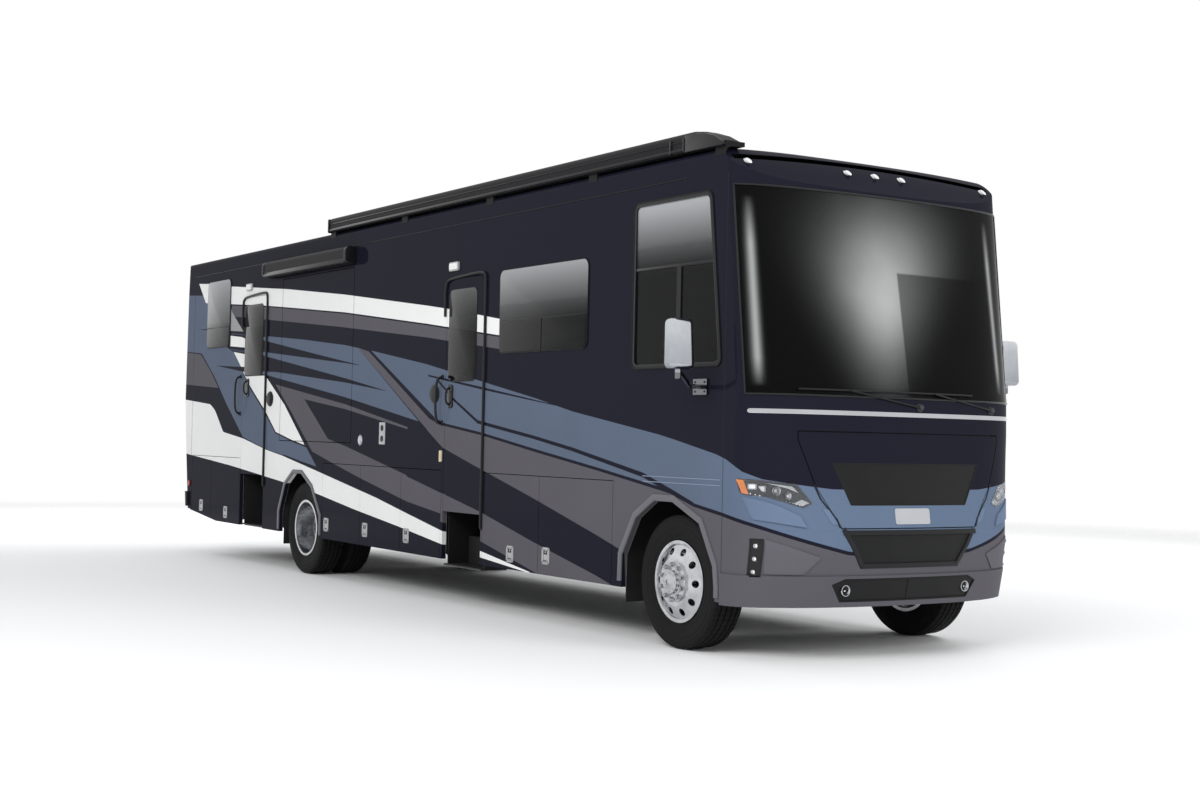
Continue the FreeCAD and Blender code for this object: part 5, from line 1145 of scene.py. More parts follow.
def section_point(poles, turn):
    """A point of the plan's cubic curve."""
    span = min(int(turn), 5) + 3
    points = [poles[span - 3 + j].copy() for j in range(4)]
    for level in range(1, 4):
        for j in range(3, level - 1, -1):
            i = span - 3 + j
            share = (turn - section_knots[i]) / (section_knots[i + 4 - level] - section_knots[i])
            points[j] = points[j - 1].lerp(points[j], share)
    return points[3]


def section_turn(poles, reached):
    """Where along the left half of the plan a test first holds."""
    low, high = 0.0, section_end / 2
    for _ in range(26):
        middle = (low + high) / 2
        if reached(section_point(poles, middle)):
            high = middle
        else:
            low = middle
    return high


def nose_skin(y, z):
    poles = nose_poles(max(z, nose_levels[0][0]))
    away = abs(y)
    return section_point(poles, section_turn(poles, lambda p: p.y <= away)).x


def sliced(shape, y_step, z_step):
    """Cuts a flat shape in Y and Z into small faces, so that it can bend."""
    for axis, step in ((1, y_step), (2, z_step)):
        values = [vert.co[axis] for vert in shape.verts]
        spot = math.floor(min(values) / step) * step + step
        while spot < max(values):
            plane = Vector((0, 0, 0))
            plane[axis] = spot
            normal = Vector((0, 0, 0))
            normal[axis] = 1.0
            geometry = shape.verts[:] + shape.edges[:] + shape.faces[:]
            bmesh.ops.bisect_plane(shape, geom=geometry, dist=1e-5, plane_co=plane, plane_no=normal)
            spot += step
    return shape


def front_plate(outline, low, high, corner=0.0, soft=0.0, y_step=0.04, z_step=0.08, width=0.0):
    """A plate that follows the nose's skin between two depths, or a ring if it is given a width."""
    shape = front_face(outline, corner)
    if width:
        hollowed(shape, width)
    sliced(shape, y_step, z_step)
    thickened(moved_ahead(shape, low), (high - low, 0, 0), soft)
    for vert in shape.verts:
        vert.co.x += nose_skin(vert.co.y, vert.co.z)
    return shape


def front_ring(outline, low, high, corner, width, soft=0.0, y_step=0.04, z_step=0.08):
    return front_plate(outline, low, high, corner, soft, y_step, z_step, width)


def sided(outline, side):
    return [(y * side, z) for y, z in outline]


# headlamps, day lamps and fog lamps

lamp_outline = ((1.281, 1.261), (1.228, 1.2615), (0.966, 1.2295), (0.8545, 1.101), (0.9245, 1.069),
                (1.167, 1.1445),
                (1.245, 1.150), (1.268, 1.160))
lamp_opening = ((1.226, 1.2555), (0.970, 1.2235), (0.861, 1.100), (0.9255, 1.075), (1.1635, 1.150))
lamp_outer_part = ((1.262, 1.2585), (1.220, 1.2585), (1.160, 1.149), (1.238, 1.151))
lamp_end = ((0.930, 1.128), (0.868, 1.103), (0.922, 1.082), (0.985, 1.100))
lamp_wing = ((1.150, 1.236), (0.985, 1.2155), (0.945, 1.172), (1.020, 1.203))
amber_outline = ((1.2805, 1.2565), (1.259, 1.254), (1.236, 1.154), (1.262, 1.163))
lamp_back = -0.034


def nose_disc(y, z, depth, profile, steps=32):
    """A turned shape that looks straight ahead from the nose's skin."""
    return turned(profile, (nose_skin(y, z) + depth, y, z), (1, 0, 0), steps)


def headlamps():
    """Bowls, reflectors, bulbs, turn lamps and clear covers of both headlamps."""
    bowl = []
    shiny = []
    lit = []
    amber = []
    cover = []
    for side in (1.0, -1.0):
        opening = sided(lamp_opening, side)
        outline = sided(lamp_outline, side)
        bowl += [front_plate(opening, -0.046, -0.041, 0.004), front_ring(opening, -0.043, 0.0, 0.004, 0.003),
                 front_ring(outline, -0.001, 0.0022, 0.010, 0.009, 0.0008, 0.02),
                 front_plate(sided(lamp_outer_part, side), -0.001, 0.0010, 0.002, 0.0, 0.01)]
        amber.append(front_plate(sided(amber_outline, side), -0.0008, 0.0026, 0.004, 0.0006, 0.006))
        for y, z, half, depth in ((1.222, 1.210, 0.019, -0.0005), (1.168, 1.196, 0.020, -0.020)):
            frame_line = sided(oblong(y - half, y + half, z - half, z + half), side)
            shiny.append(front_ring(frame_line, depth - 0.012, depth + 0.006, 0.006, 0.004, 0.001, 0.01))
            bulb_line = sided(oblong(y - half, y + half, z - half, z + half, -0.005), side)
            lit.append(front_plate(bulb_line, depth - 0.003, depth + 0.003, 0.005, 0.0015, 0.01))
        y, z = side * 1.085, 1.184
        shiny.append(nose_disc(y, z, lamp_back, ((0.021, 0.0), (0.033, 0.016), (0.035, 0.020),
                                                 (0.0365, 0.018),
                                                 (0.0365, 0.0))))
        shiny.append(nose_disc(y, z, lamp_back, ((0.0, 0.020), (0.010, 0.018), (0.017, 0.012),
                                                 (0.0195, 0.004),
                                                 (0.0195, 0.0))))
        y, z = side * 1.010, 1.150
        shiny.append(nose_disc(y, z, lamp_back, ((0.013, 0.0), (0.024, 0.014), (0.026, 0.015), (0.026, 0.0))))
        lit.append(nose_disc(y, z, -0.028, ((0.0, 0.008), (0.007, 0.006), (0.011, 0.0))))
        for i in range(14):
            share = i / 13
            depth = -0.0005 if share < 0.18 else -0.010
            lit.append(nose_disc(side * (1.228 - 0.285 * share), 1.1605 - 0.072 * share, depth,
                                 ((0.0, 0.0045), (0.0035, 0.0035), (0.0052, 0.0)), 12))
        shiny.append(front_plate(sided(lamp_end, side), -0.020, -0.008, 0.003, 0.001))
        shiny.append(front_plate(sided(lamp_wing, side), -0.026, -0.018, 0.003, 0.001))
        cover.append(front_plate(outline, 0.0024, 0.0046, 0.010, 0.001, 0.02))
    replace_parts(make_piece("headlamp_bowls", black_gloss, "black_trim", *bowl), "headlamps")
    make_piece("headlamp_reflectors", chrome, "clear_lens", *shiny)
    make_piece("headlamp_bulbs", lit_lens, "clear_lens", *lit)
    make_piece("headlamp_turn_lamps", amber_lens, "amber_lens", *amber)
    make_piece("headlamp_covers", lamp_cover, "clear_lens", *cover)


ledge_step = 0.014
fog_depth = ledge_step - 0.024
day_depth = -0.012


def day_and_fog_lamps():
    """The upright strips of three day lamps and the fog lamps in the bumper's insert."""
    strip = []
    rims = []
    lens = []
    for side in (1.0, -1.0):
        y = side * 1.196
        strip.append(front_plate(oblong(y - 0.0305, y + 0.0305, 0.5905, 0.8495), -0.012, -0.004, 0.004, 0.001,
                                 0.01))
        strip.append(front_ring(oblong(y - 0.034, y + 0.034, 0.585, 0.855), -0.004, 0.003, 0.006, 0.006,
                                0.001, 0.01))
        for z in (0.805, 0.715, 0.625):
            rims.append(nose_disc(y, z, day_depth,
                                  ((0.0165, 0.0), (0.0165, 0.012), (0.019, 0.013), (0.021, 0.010),
                                                    (0.021, 0.0))))
            lens.append(nose_disc(y, z, day_depth,
                                  ((0.0, 0.014), (0.009, 0.012), (0.0155, 0.006), (0.0165, 0.0)), 24))
        y, z = side * 0.571, 0.497
        strip.append(nose_disc(y, z, fog_depth, ((0.0, 0.0), (0.0335, 0.0), (0.0335, 0.004))))
        rims.append(nose_disc(y, z, fog_depth, ((0.012, 0.002), (0.024, 0.010), (0.030, 0.022),
                                                (0.0345, 0.030),
                                                (0.039, 0.029), (0.0405, 0.024), (0.0335, 0.018),
                                                (0.0335, 0.0))))
        lens.append(nose_disc(y, z, fog_depth, ((0.0, 0.019), (0.006, 0.018), (0.010, 0.013), (0.011, 0.004)),
                              24))
    make_piece("day_lamp_strips", black_gloss, "black_trim", *strip)
    make_piece("day_and_fog_rims", chrome, "chrome_shell", *rims)
    make_piece("day_and_fog_lenses", lit_lens, "clear_lens", *lens)


headlamps()
day_and_fog_lamps()


# trim of the nose and the windscreen

screen_low, screen_high = 1.848, 3.313
screen_edge_low, screen_edge_high = 0.795, 0.628


def screen_side(count, out):
    """Points up the left side of the windscreen's opening."""
    for i in range(count + 1):
        share = i / count
        edge = at(screen_edge_low + (screen_edge_high - screen_edge_low) * share)
        poles = nose_poles(screen_low + (screen_high - screen_low) * share)
        point = section_point(poles, section_turn(poles, lambda p: p.x >= edge))
        yield point + Vector((out * 0.6, out, 0))


def screen_level(z, edge, count, out):
    """Points along the top or bottom of the windscreen's opening, from left to right."""
    poles = nose_poles(z)
    start = section_turn(poles, lambda p: p.x >= at(edge))
    run = section_end - 2 * start
    return [section_point(poles, start + run * i / count) + Vector((out, 0, 0)) for i in range(count + 1)]


def windscreen_trim():
    """Caps over the wiper spindles, the screen's gasket, the chrome strip below it and a blank plate."""
    cap = ((0.0, 0.030), (0.012, 0.029), (0.020, 0.022), (0.022, 0.004), (0.030, 0.0), (0.030, -0.006))
    z = 1.785
    make_piece("wiper_pivots", cast, "black_trim",
               *[turned(cap, (nose_skin(y, z) + 0.004, y, z), (1, 0, 0.25), 28) for y in (0.107, 0.890)])
    out = 0.001
    left = list(screen_side(10, out))
    right = [Vector((p.x, -p.y, p.z)) for p in left]
    loop = (screen_level(screen_low, screen_edge_low, 40, out) + right[1:-1]
            + screen_level(screen_high, screen_edge_high, 40, out)[::-1] + left[::-1][1:])
    make_piece("windscreen_gasket", black_gloss, "black_trim", bent_rod(loop, 0.0085, smooth=False),
               sharp=60.0)
    make_piece("nose_chrome_strip", chrome, "chrome_shell",
               front_plate(oblong(-1.252, 1.252, 1.715, 1.7475), -0.002, 0.0055, 0.012, 0.002))
    make_piece("nose_blank_plate", brushed, "chrome_shell",
               front_plate(oblong(-0.165, 0.165, 0.957, 1.068), -0.001, 0.0045, 0.016, 0.0015), body="hood")


windscreen_trim()


# mirrors

shell_low, shell_high = 2.006, 2.362


def mirror_shell(x, y):
    """A rounded shell over the front of a head, a little narrower towards its top."""
    shape = block((x - 0.049, y - 0.104, shell_low), (x + 0.074, y + 0.104, shell_high), 0.042, 6)
    for vert in shape.verts:
        rise = (vert.co.z - shell_low) / (shell_high - shell_low)
        vert.co.y = y + (vert.co.y - y) * (1.0 - 0.16 * rise)
        vert.co.x = x - 0.049 + (vert.co.x - x + 0.049) * (1.0 - 0.12 * rise)
    return shape


def mirror_trim():
    """Glass with a black rim on the back of each head, a shell over its front, and the arm's bolts."""
    shells = []
    glass_faces = []
    rims = []
    bolts = []
    head_x = at(0.470)
    back = head_x - 0.0525
    for side in (1.0, -1.0):
        y = side * 1.600
        for low, high in ((2.135, 2.325), (2.040, 2.118)):
            flat = front_face(oblong(y - 0.078, y + 0.078, low, high), 0.018)
            glass_faces.append(thickened(moved_ahead(flat, back + 0.001), (-0.004, 0, 0), 0.001))
            rim = hollowed(front_face(oblong(y - 0.084, y + 0.084, low - 0.006, high + 0.006), 0.022), 0.006)
            rims.append(thickened(moved_ahead(rim, back + 0.002), (-0.009, 0, 0), 0.0015))
        for x, z in ((0.262, 1.865), (0.375, 1.865), (0.262, 1.932), (0.375, 1.932)):
            bolts.append(hexagon((at(x), side * (half_width + 0.016), z), (0, side, 0), 0.008, 0.005))
        stem = ((0.0, -0.066), (0.018, -0.065), (0.022, -0.060), (0.022, 0.006))
        shells += [mirror_shell(head_x, y), turned(stem, (head_x, y, shell_low), (0, 0, 1), 28)]
    make_piece("mirror_shells", mirror_plating, "chrome_shell", *shells)
    make_piece("mirror_faces", mirror_glass, "chrome_shell", *glass_faces)
    make_piece("mirror_rims", black_trim, "black_trim", *rims)
    make_piece("mirror_bolts", cast, "cast_steel", *bolts)


mirror_trim()


# awnings

def awning_trim():
    """Seams, end caps and lead rail of the roof awning, and the ribbed roll of the topper awning."""
    out = -1.318
    bars = [block((at(-6.235), out - 0.010, 3.606), (at(0.085), out + 0.002, 3.628), 0.005),
            block((at(-6.235), out - 0.006, 3.672), (at(0.085), out + 0.002, 3.679), 0.002)]
    bands_round = [block((at(place), out - 0.012, 3.600), (at(place + 0.020), out + 0.004, 3.700), 0.004)
                   for place in (-6.236, -0.080, 0.085)]
    make_piece("awning_lead_rail", black_gloss, "awning_black", *bars, *bands_round)
    nose_cap = ((0.10, 3.592), (0.565, 3.592), (0.548, 3.622), (0.46, 3.672), (0.36, 3.700), (0.24, 3.712),
                (0.10, 3.716))
    make_piece("awning_end_caps", black_gloss, "awning_black",
               block((at(-6.262), out - 0.004, 3.590), (at(-6.236), -1.116, 3.735), 0.020, 3),
               side_plate([(at(place), z) for place, z in nose_cap], out + 0.004, out - 0.008, 0.012, 0.004))
    y = -half_width - 0.064
    profile = [(0.0, 0.0), (0.046, 0.0)]
    length = 2.170
    count = 62
    for i in range(count):
        start = length * i / count
        profile += [(0.0462, start), (0.0500, start + 0.010), (0.0500, start + 0.022),
                    (0.0462, start + 0.032)]
    profile += [(0.046, length), (0.0, length)]
    make_piece("topper_roll", topper_cloth, "awning_black",
               turned(profile, (at(-7.805), y, 3.322), (1, 0, 0), 24))
    end = ((y - 0.062, 3.246), (y + 0.062, 3.222), (y + 0.064, 3.372), (y + 0.030, 3.398), (y - 0.040, 3.392),
           (y - 0.064, 3.360))
    ends = [cross_plate(end, at(place), at(place + 0.040), 0.016, 0.004) for place in (-7.845, -5.635)]
    make_piece("topper_ends", black_gloss, "awning_black", *ends,
               block((at(-7.81), y - 0.060, 3.236), (at(-5.63), y - 0.048, 3.276), 0.005))
    make_piece("topper_back", awning_case, "awning_black",
               block((at(-7.81), -half_width - 0.016, 3.236), (at(-5.63), -half_width, 3.402), 0.004))


awning_trim()


# wheel arch lips and seams

front_arch_line = ((-0.655, 0.44), (-0.650, 0.640), (-0.470, 0.930), (-0.235, 1.068), (0.0, 1.068),
                   (0.330, 0.930),
                   (0.500, 0.640), (0.520, 0.4895), (0.520, 0.42))
rear_arch_line = ((-0.600, 0.44), (-0.600, 0.640), (-0.450, 0.930), (-0.225, 1.068), (0.0, 1.068),
                  (0.270, 0.930),
                  (0.500, 0.640), (0.500, 0.44))


def arch_lip(line, axle, side, width):
    """A raised lip of even width along an arch, softened at both edges."""
    shape = bmesh.new()
    loops = []
    spots = [Vector((x, 0, z)) for x, z in line]
    for away in (-0.002, width):
        verts = []
        for i, spot in enumerate(spots):
            run = spots[min(i + 1, len(spots) - 1)] - spots[max(i - 1, 0)]
            outward = Vector((-run.z, 0, run.x)).normalized()
            place = spot + outward * away
            verts.append(shape.verts.new((axle + place.x, side * (half_width - 0.001), place.z)))
        loops += [shape.edges.new(pair) for pair in zip(verts, verts[1:])]
    bmesh.ops.bridge_loops(shape, edges=loops)
    return thickened(shape, (0, side * 0.012, 0), 0.005)


def arch_lips():
    for side, word in ((-1.0, "right"), (1.0, "left")):
        make_piece(word + "_arch_lips", painted_lip, "coach_paint",
                   arch_lip(front_arch_line, front_axle, side, 0.050),
                   arch_lip(rear_arch_line, rear_axle, side, 0.040))
    lines = []
    for side in (-1.0, 1.0):
        y = side * half_width
        for place, low, high in ((0.590, 0.40, 3.40), (-10.380, 0.53, 3.40)):
            lines.append(block((at(place) - 0.002, y, low), (at(place) + 0.002, y + side * 0.0012, high),
                               0.0004, 1))
        lines.append(block((at(-10.37), y, 3.409), (at(0.10), y + side * 0.006, 3.4155), 0.002, 1))
    make_piece("body_seams", black_trim, "black_trim", *lines)


arch_lips()


# grilles and creases of the nose

def trapezoid(low_half, high_half, low, high):
    return ((-low_half, low), (low_half, low), (high_half, high), (-high_half, high))


def nose_grilles():
    """Wire mesh and edges of both grilles, and the dark insert with its ledge below them."""
    make_piece("upper_grille_mesh", grille_mesh, "black_trim",
               front_plate(trapezoid(0.546, 0.698, 1.092, 1.380), -0.0055, -0.002, 0.006), body="hood")
    make_piece("lower_grille_mesh", grille_mesh, "black_trim",
               front_plate(trapezoid(0.472, 0.610, 0.667, 0.882), -0.0055, -0.002, 0.006))
    make_piece("lower_grille_surround", black_trim, "black_trim",
               front_ring(trapezoid(0.462, 0.640, 0.650, 0.918), -0.002, 0.006, 0.006, 0.034, 0.002))
    make_piece("upper_grille_edge", black_trim, "black_trim",
               front_ring(trapezoid(0.549, 0.7015, 1.0885, 1.3835), -0.006, 0.0012, 0.006, 0.004, 0.0006),
               body="hood")
    step = ledge_step
    outline = ((-0.587, 0.578), (0.587, 0.578), (0.686, 0.540), (0.606, 0.418), (-0.606, 0.418),
               (-0.686, 0.540))
    make_piece("bumper_insert", insert_plastic, "black_trim",
               front_plate(outline, step - 0.013, step - 0.006, 0.004),
               front_ring(outline, step - 0.008, step + 0.002, 0.006, 0.008, 0.001),
               front_plate(oblong(-0.022, -0.018, 0.424, 0.572), step - 0.007, step - 0.003))


def nose_creases():
    """The black edge of the hood, and the raised facets beside the lamps and the day lamps, in a brighter
    copy of the paint as painted light.
    """
    line = ((0.849, 1.237), (0.795, 1.132), (0.673, 0.993), (0.652, 0.935))
    wide = 0.011
    upper = ((1.262, 1.140), (1.222, 0.985), (0.905, 0.935), (0.948, 1.012), (1.110, 1.092))
    lower = ((1.158, 0.850), (0.790, 0.728), (0.905, 0.612), (1.150, 0.612))
    inner = ((0.790, 1.070), (0.712, 0.958), (0.668, 0.958), (0.735, 1.062))
    seams = []
    facets = []
    for side in (1.0, -1.0):
        points = sided(line, side)
        strip = [(y - wide / 2, z) for y, z in points] + [(y + wide / 2, z) for y, z in reversed(points)]
        seams.append(front_plate(strip, -0.002, 0.0045, 0.0, 0.001))
        for outline, depth, corner, soft in ((upper, 0.012, 0.010, 0.010), (lower, 0.009, 0.012, 0.008),
                                             (inner, 0.004, 0.006, 0.003)):
            facets.append(front_plate(sided(outline, side), -0.002, depth, corner, soft, 0.02, 0.04))
    make_piece("hood_edge_seal", black_trim, "black_trim", *seams)
    make_piece("hood_gap_seal", black_trim, "black_trim",
               front_plate(oblong(-0.64, 0.64, 0.900, 0.950), -0.040, -0.030),
               front_plate(oblong(-0.95, 0.95, 1.585, 1.615), -0.040, -0.030))
    make_piece("nose_facets", lit_facet_paint, "coach_paint", *facets)


nose_grilles()
nose_creases()


# roof

def roof_details():
    """Panel seams, a sealed edge, louvred shrouds and vent lids."""
    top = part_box("roof")[1].z
    seams = [block((at(place) - 0.018, -1.02, top - 0.002), (at(place) + 0.018, 1.02, top + 0.004), 0.002)
             for place in (-1.0, -3.0, -5.0, -6.9, -9.0)]
    seams += [block((at(-10.2), y - 0.02, top - 0.002), (at(0.1), y + 0.02, top + 0.005), 0.002)
              for y in (-1.04, 1.04)]
    make_piece("roof_seam_tape", white_shell, "white_shell", *seams)
    louvres = []
    for place in (-1.7, -7.9):
        for side in (-1.0, 1.0):
            y = side * 0.352
            for i in range(7):
                z = 3.700 + i * 0.026
                louvres.append(block((at(place) - 0.30, y, z),
                                     (at(place) + 0.30, y + side * 0.006, z + 0.010), 0.002))
        for i in range(6):
            x = at(place) - 0.20 + i * 0.08
            louvres.append(block((x, -0.22, 3.938), (x + 0.036, 0.22, 3.9455), 0.003))
    make_piece("cooler_louvres", black_trim, "black_trim", *louvres)


roof_details()


# seats

pad_voxel = 0.010
pad_growth = 0.024


def islands(shape):
    """The separate bodies of a mesh, from the lowest to the highest."""
    bmesh.ops.remove_doubles(shape, verts=shape.verts[:], dist=1e-5)
    left = set(shape.verts)
    bodies = []
    while left:
        start = left.pop()
        found = {start}
        edge_of_search = [start]
        while edge_of_search:
            vert = edge_of_search.pop()
            for edge in vert.link_edges:
                other = edge.other_vert(vert)
                if other not in found:
                    found.add(other)
                    edge_of_search.append(other)
        left -= found
        bodies.append(found)
    return sorted(bodies, key=lambda found: sum(vert.co.z for vert in found) / len(found))


def body_mesh(node, number, shrink=0.0):
    """A copy of one body of a node, a little smaller on every side."""
    shape = bmesh.new()
    shape.from_mesh(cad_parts[node].data)
    kept = islands(shape)[number]
    bmesh.ops.delete(shape, geom=[vert for vert in shape.verts if vert not in kept], context="VERTS")
    low = Vector([min(vert.co[i] for vert in shape.verts) for i in range(3)])
    high = Vector([max(vert.co[i] for vert in shape.verts) for i in range(3)])
    middle = (low + high) / 2
    size = high - low
    for vert in shape.verts:
        for i in range(3):
            vert.co[i] = middle[i] + (vert.co[i] - middle[i]) * (1 - 2 * shrink / size[i])
    return shape


def settled(piece):
    """The mesh of a piece as its modifiers leave it."""
    found = piece.evaluated_get(bpy.context.evaluated_depsgraph_get())
    mesh = bpy.data.meshes.new_from_object(found)
    piece.modifiers.clear()
    piece.data = mesh


def puffed(piece):
    """Blows a piece up like a sewn cover, with no point moving further than the growth allowed."""
    remesh = piece.modifiers.new("even faces", "REMESH")
    remesh.mode = "VOXEL"
    remesh.voxel_size = pad_voxel
    settled(piece)
    before = [vert.co.copy() for vert in piece.data.vertices]
    cloth = piece.modifiers.new("cover", "CLOTH")
    cloth.settings.quality = 5
    cloth.settings.mass = 0.3
    cloth.settings.tension_stiffness = 18.0
    cloth.settings.compression_stiffness = 18.0
    cloth.settings.bending_stiffness = 0.6
    cloth.settings.use_pressure = True
    cloth.settings.uniform_pressure_force = 4.0
    cloth.settings.effector_weights.gravity = 0.0
    for step in range(1, 21):
        bpy.context.scene.frame_set(step)
    settled(piece)
    bpy.context.scene.frame_set(1)
    for vert, start in zip(piece.data.vertices, before):
        way = vert.co - start
        if way.length > pad_growth:
            vert.co = start + way.normalized() * pad_growth
    smooth = piece.modifiers.new("smooth", "SUBSURF")
    smooth.levels = 1
    smooth.render_levels = 1
    settled(piece)
    piece.data.shade_smooth()


def make_seat(node, y):
    """Padded cushion and back with sewn piping, on a coated pedestal."""
    make_piece(node + "_pedestal", black_trim, "chassis_black", body_mesh(node, 0))
    for number, word in ((1, "cushion"), (2, "back")):
        pad = make_piece(node + "_" + word, seat_cover, "seat_cover", body_mesh(node, number, 0.010),
                         sharp=60.0)
        puffed(pad)
        if number == 1:
            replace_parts(pad, node)
    x = at(-0.330)
    half = 0.247
    ring = [(x - half, y - half), (x + half, y - half), (x + half, y + half), (x - half, y + half)]
    piping = []
    for z in (1.668, 1.592):
        path = [(x0 + (x1 - x0) * share, y0 + (y1 - y0) * share, z)
                for (x0, y0), (x1, y1) in zip(ring, ring[1:] + ring[:1]) for share in (0.08, 0.3, 0.7, 0.92)]
        piping.append(bent_rod(path + path[:1], 0.0045))
    for height in (1.98, 2.20):
        front_x = x - 0.260 + 0.140 - 0.090 * (height - 1.70) / 0.72 + 0.002
        piping.append(bent_rod([(front_x, y + share * 0.225, height)
                                for share in (-1.0, -0.4, 0.0, 0.4, 1.0)], 0.0045))
    make_piece(node + "_piping", black_trim, "seat_cover", *piping, sharp=60.0)


make_seat("driver_seat", 0.640)
make_seat("passenger_seat", -0.640)


# steering wheel and dashboard

def wheel_and_dash():
    """Grip and column cover of the steering wheel, and the screens of the dashboard."""
    axis = (-0.819, 0.0, 0.574)
    centre = (at(0.140), 0.640, 1.860)
    grip = 0.0172
    ring = [(0.225 + grip * math.cos(math.tau * i / 12), grip * math.sin(math.tau * i / 12))
            for i in range(12)]
    make_piece("steering_grip", dash_plastic, "dash_plastic", turned(ring, centre, axis, 72, closed=True),
               body="steering_wheel")
    hub = ((0.0, 0.030), (0.040, 0.028), (0.062, 0.018), (0.070, 0.004), (0.066, -0.012))
    make_piece("steering_hub_pad", black_trim, "dash_plastic", turned(hub, centre, axis, 32),
               body="steering_wheel")
    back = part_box("dashboard")[0].x
    screens = [cross_plate(oblong(y - half, y + half, 1.66, 1.80), back - 0.001, back - 0.008, 0.012, 0.003)
               for y, half in ((0.640, 0.17), (0.10, 0.13))]
    make_piece("dash_screens", black_gloss, "dash_plastic", *screens)


wheel_and_dash()


# left room and left side

def left_side():
    """Panes and gaskets of the left room, the weather seals of both rooms, and the service hatches."""
    panes = []
    seals = []
    face = half_width
    for rear, front in ((-5.58, -4.47), (-3.63, -2.52)):
        panes.append(side_plate(coach_oblong(rear, front, 2.26, 2.94, -0.004), face - 0.004, face + 0.003,
                                0.066, 0.0015))
        seals.append(side_ring(coach_oblong(rear, front, 2.26, 2.94, 0.008), face - 0.001, face + 0.005,
                               0.074, 0.016,
                               0.002))
        for place in (rear + 0.36, front - 0.36):
            seals.append(block((at(place) - 0.004, face + 0.001, 2.272),
                               (at(place) + 0.004, face + 0.005, 2.928), 0.001))
    seals.append(side_ring(coach_oblong(-6.1, -2.0, 1.33, 3.196, -0.003), face - 0.001, face + 0.004, 0.0,
                           0.022, 0.002))
    make_piece("left_room_panes", room_glass, "dark_glass", *panes, body="left_room")
    make_piece("left_room_seals", black_trim, "black_trim", *seals, body="left_room")
    make_piece("right_room_seal", black_trim, "black_trim",
               side_ring(coach_oblong(-7.520, -5.630, 1.410, 3.196, -0.003), -face + 0.001, -face - 0.0015,
                         0.0, 0.006,
                         0.0006), body="right_room")
    hatches = []
    locks = []
    for rear, front, low, high in ((-9.72, -9.34, 1.36, 1.72), (-8.70, -8.42, 1.40, 1.66),
                                   (-1.42, -1.10, 1.36, 1.60)):
        hatches.append(side_ring(coach_oblong(rear, front, low, high), face - 0.001, face + 0.006, 0.03,
                                 0.022, 0.003))
        x = (at(rear) + at(front)) / 2
        for share in (-0.28, 0.28):
            locks.append(turned(((0.0, 0.010), (0.012, 0.010), (0.014, 0.007), (0.014, 0.0)),
                                (x + share * (front - rear), face, high - 0.045), (0, 1, 0), 20))
    make_piece("service_hatch_frames", painted_lip, "coach_paint", *hatches)
    make_piece("service_hatch_locks", latch_grey, "chrome_shell", *locks)


left_side()


# chassis

rail_side = 0.432
rail_low = 0.770
cross_members = (0.56, -1.46, -2.30, -3.75, -4.70, -5.90, -7.90, -9.20, -10.40)
make_piece("chassis_bolts", cast, "cast_steel",
           *[hexagon((at(place) + ahead, side * rail_side, rail_low + up), (0, side, 0), 0.012, 0.009)
             for side in (-1.0, 1.0) for place in cross_members for ahead in (-0.03, 0.03)
             for up in (0.06, 0.14)])


# tail

def tail_details():
    """A bare plate holder, a third brake lamp and the rims and rings of the tail lamps."""
    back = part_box("rear_cap")[0].x
    make_piece("tail_blank_plate", brushed, "chrome_shell",
               cross_plate(oblong(-0.158, 0.158, 0.86, 1.02), back + 0.004, back - 0.006, 0.014, 0.002))
    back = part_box("marker_lamps")[0].x
    make_piece("tail_stop_lamp", red_lens, "red_lens",
               cross_plate(oblong(-0.19, 0.19, 3.362, 3.394), back + 0.012, back - 0.002, 0.010, 0.003))
    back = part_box("tail_lamps")[0].x
    spots = [(back, y, z) for y in (-1.105, 1.105) for z in (1.645, 1.520, 1.395)]
    rim = ((0.055, -0.004), (0.055, 0.004), (0.052, 0.007), (0.049, 0.004), (0.049, -0.004))
    make_piece("tail_lamp_rims", chrome, "chrome_shell",
               *[turned(rim, spot, (-1, 0, 0), 40) for spot in spots])
    lens = ((0.049, -0.004), (0.047, 0.003), (0.030, 0.006), (0.0, 0.007))
    make_piece("tail_lamp_rings", red_lens, "red_lens",
               *[turned(lens, spot, (-1, 0, 0), 40) for spot in spots])


tail_details()


# steps

def step_treads():
    """Ribbed treads and nosings in both step wells."""
    treads = []
    nosings = []
    for rear, front, low, high in ((-3.555, -2.9125, 0.3375, 0.825), (-8.59, -7.875, 0.42, 0.99)):
        for i, z in ((0, low + 0.004), (1, low + (high - low) / 2)):
            inner = -half_width + 0.03 + i * 0.27
            for k in range(9):
                y = inner + 0.03 + k * 0.024
                treads.append(block((at(rear) + 0.03, y, z), (at(front) - 0.03, y + 0.012, z + 0.003), 0.001,
                                    1))
            nosings.append(block((at(rear) + 0.02, inner, z - 0.004),
                                 (at(front) - 0.02, inner + 0.02, z + 0.005), 0.002))
    make_piece("step_treads", rubber, "rubber_flap", *treads)
    make_piece("step_nosings", latch_grey, "chrome_shell", *nosings)


step_treads()


# studio light and floor

def area_lamp(name, place, target, width, height, power):
    data = bpy.data.lights.new(name, "AREA")
    data.shape = "RECTANGLE"
    data.size = width
    data.size_y = height
    data.energy = power
    lamp = bpy.data.objects.new(name, data)
    bpy.context.scene.collection.objects.link(lamp)
    lamp.location = place
    lamp.rotation_mode = "QUATERNION"
    lamp.visible_glossy = False
    lamp.rotation_quaternion = (Vector(target) - Vector(place)).to_track_quat("-Z", "Y")


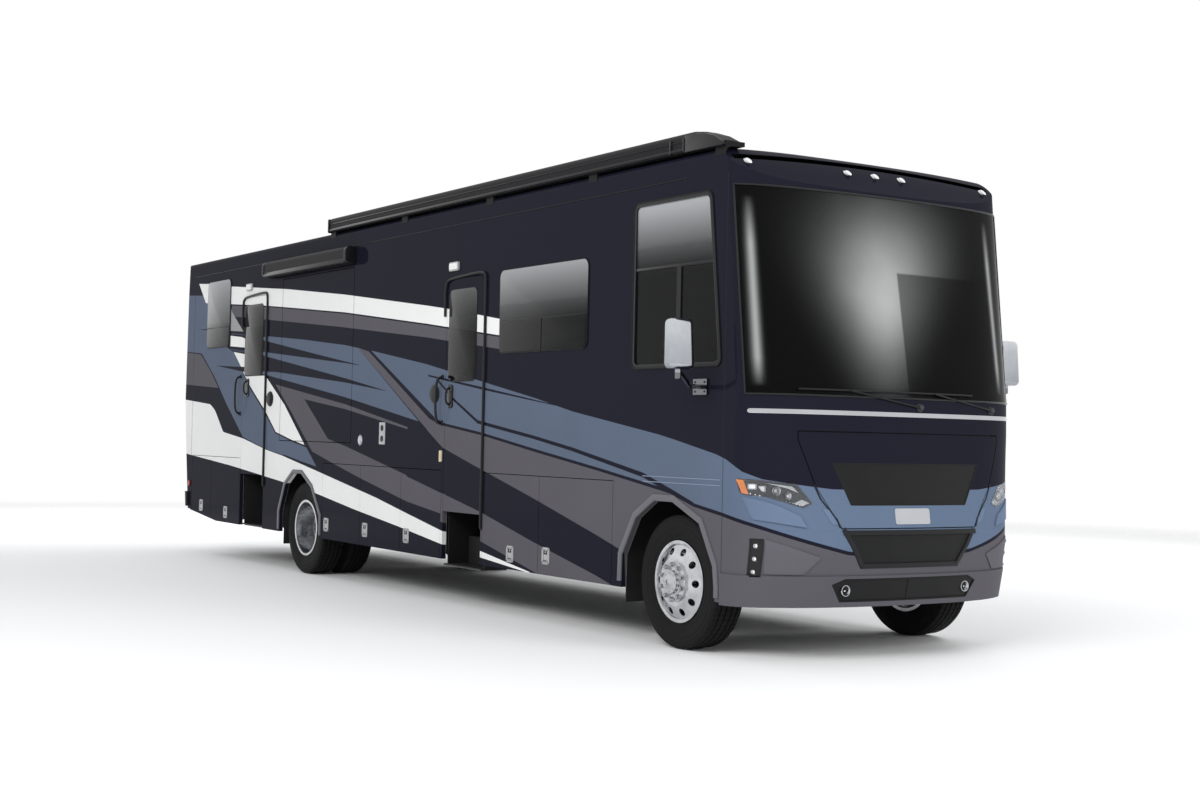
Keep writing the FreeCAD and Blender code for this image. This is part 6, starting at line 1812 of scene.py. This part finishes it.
def set_world():
    """Soft light on the coach, and plain white where the camera, glass or a gloss looks past it."""
    world = bpy.data.worlds.new("studio")
    bpy.context.scene.world = world
    world.use_nodes = True
    tree = world.node_tree
    tree.nodes.clear()
    path = add_node(tree, "LightPath").outputs
    seen = add_node(tree, "Math", path["Is Camera Ray"], path["Is Transmission Ray"],
                    operation="MAXIMUM").outputs[0]
    either = add_node(tree, "Math", seen, path["Is Glossy Ray"], operation="MAXIMUM").outputs[0]
    soft = add_node(tree, "Background", (0.96, 0.98, 1.0, 1.0), 0.55).outputs[0]
    plain = add_node(tree, "Background", (1.0, 1.0, 1.0, 1.0), 1.0).outputs[0]
    add_node(tree, "OutputWorld", add_node(tree, "MixShader", either, soft, plain).outputs[0])


def floor_material():
    """A pale floor that fades into the background away from the coach."""
    material = bpy.data.materials.new("studio_floor")
    material.use_nodes = True
    tree = material.node_tree
    shader = tree.nodes["Principled BSDF"]
    shader.inputs["Base Color"].default_value = (0.91, 0.91, 0.91, 1.0)
    shader.inputs["Roughness"].default_value = 0.8
    shader.inputs["Specular IOR Level"].default_value = 0.1
    places = add_node(tree, "TexCoord").outputs["Object"]
    reach = add_node(tree, "VectorMath", places, operation="LENGTH").outputs["Value"]
    fade = add_node(tree, "MapRange", reach, 11.0, 20.0, 1.0, 0.0).outputs[0]
    tree.links.new(fade, shader.inputs["Alpha"])
    return material


def set_stage():
    ground = bmesh.new()
    bmesh.ops.create_grid(ground, x_segments=2, y_segments=2, size=24.0)
    mesh = bpy.data.meshes.new("studio_floor")
    ground.to_mesh(mesh)
    ground.free()
    mesh.materials.append(floor_material())
    floor = bpy.data.objects.new("studio_floor", mesh)
    bpy.context.scene.collection.objects.link(floor)


set_world()
set_stage()
area_lamp("key_lamp", (at(4.0), -13.0, 9.0), (at(-3.0), 0.0, 1.6), 12.0, 5.0, 1500.0)
area_lamp("nose_lamp", (at(12.0), 3.0, 6.0), (at(0.0), 0.0, 1.6), 5.0, 5.0, 700.0)
area_lamp("far_lamp", (at(-6.0), 13.0, 9.0), (at(-5.0), 0.0, 1.6), 12.0, 5.0, 1200.0)
area_lamp("tail_lamp_light", (at(-20.0), -2.0, 6.0), (at(-10.0), 0.0, 1.6), 6.0, 5.0, 700.0)

bpy.context.scene.view_settings.view_transform = "Standard"
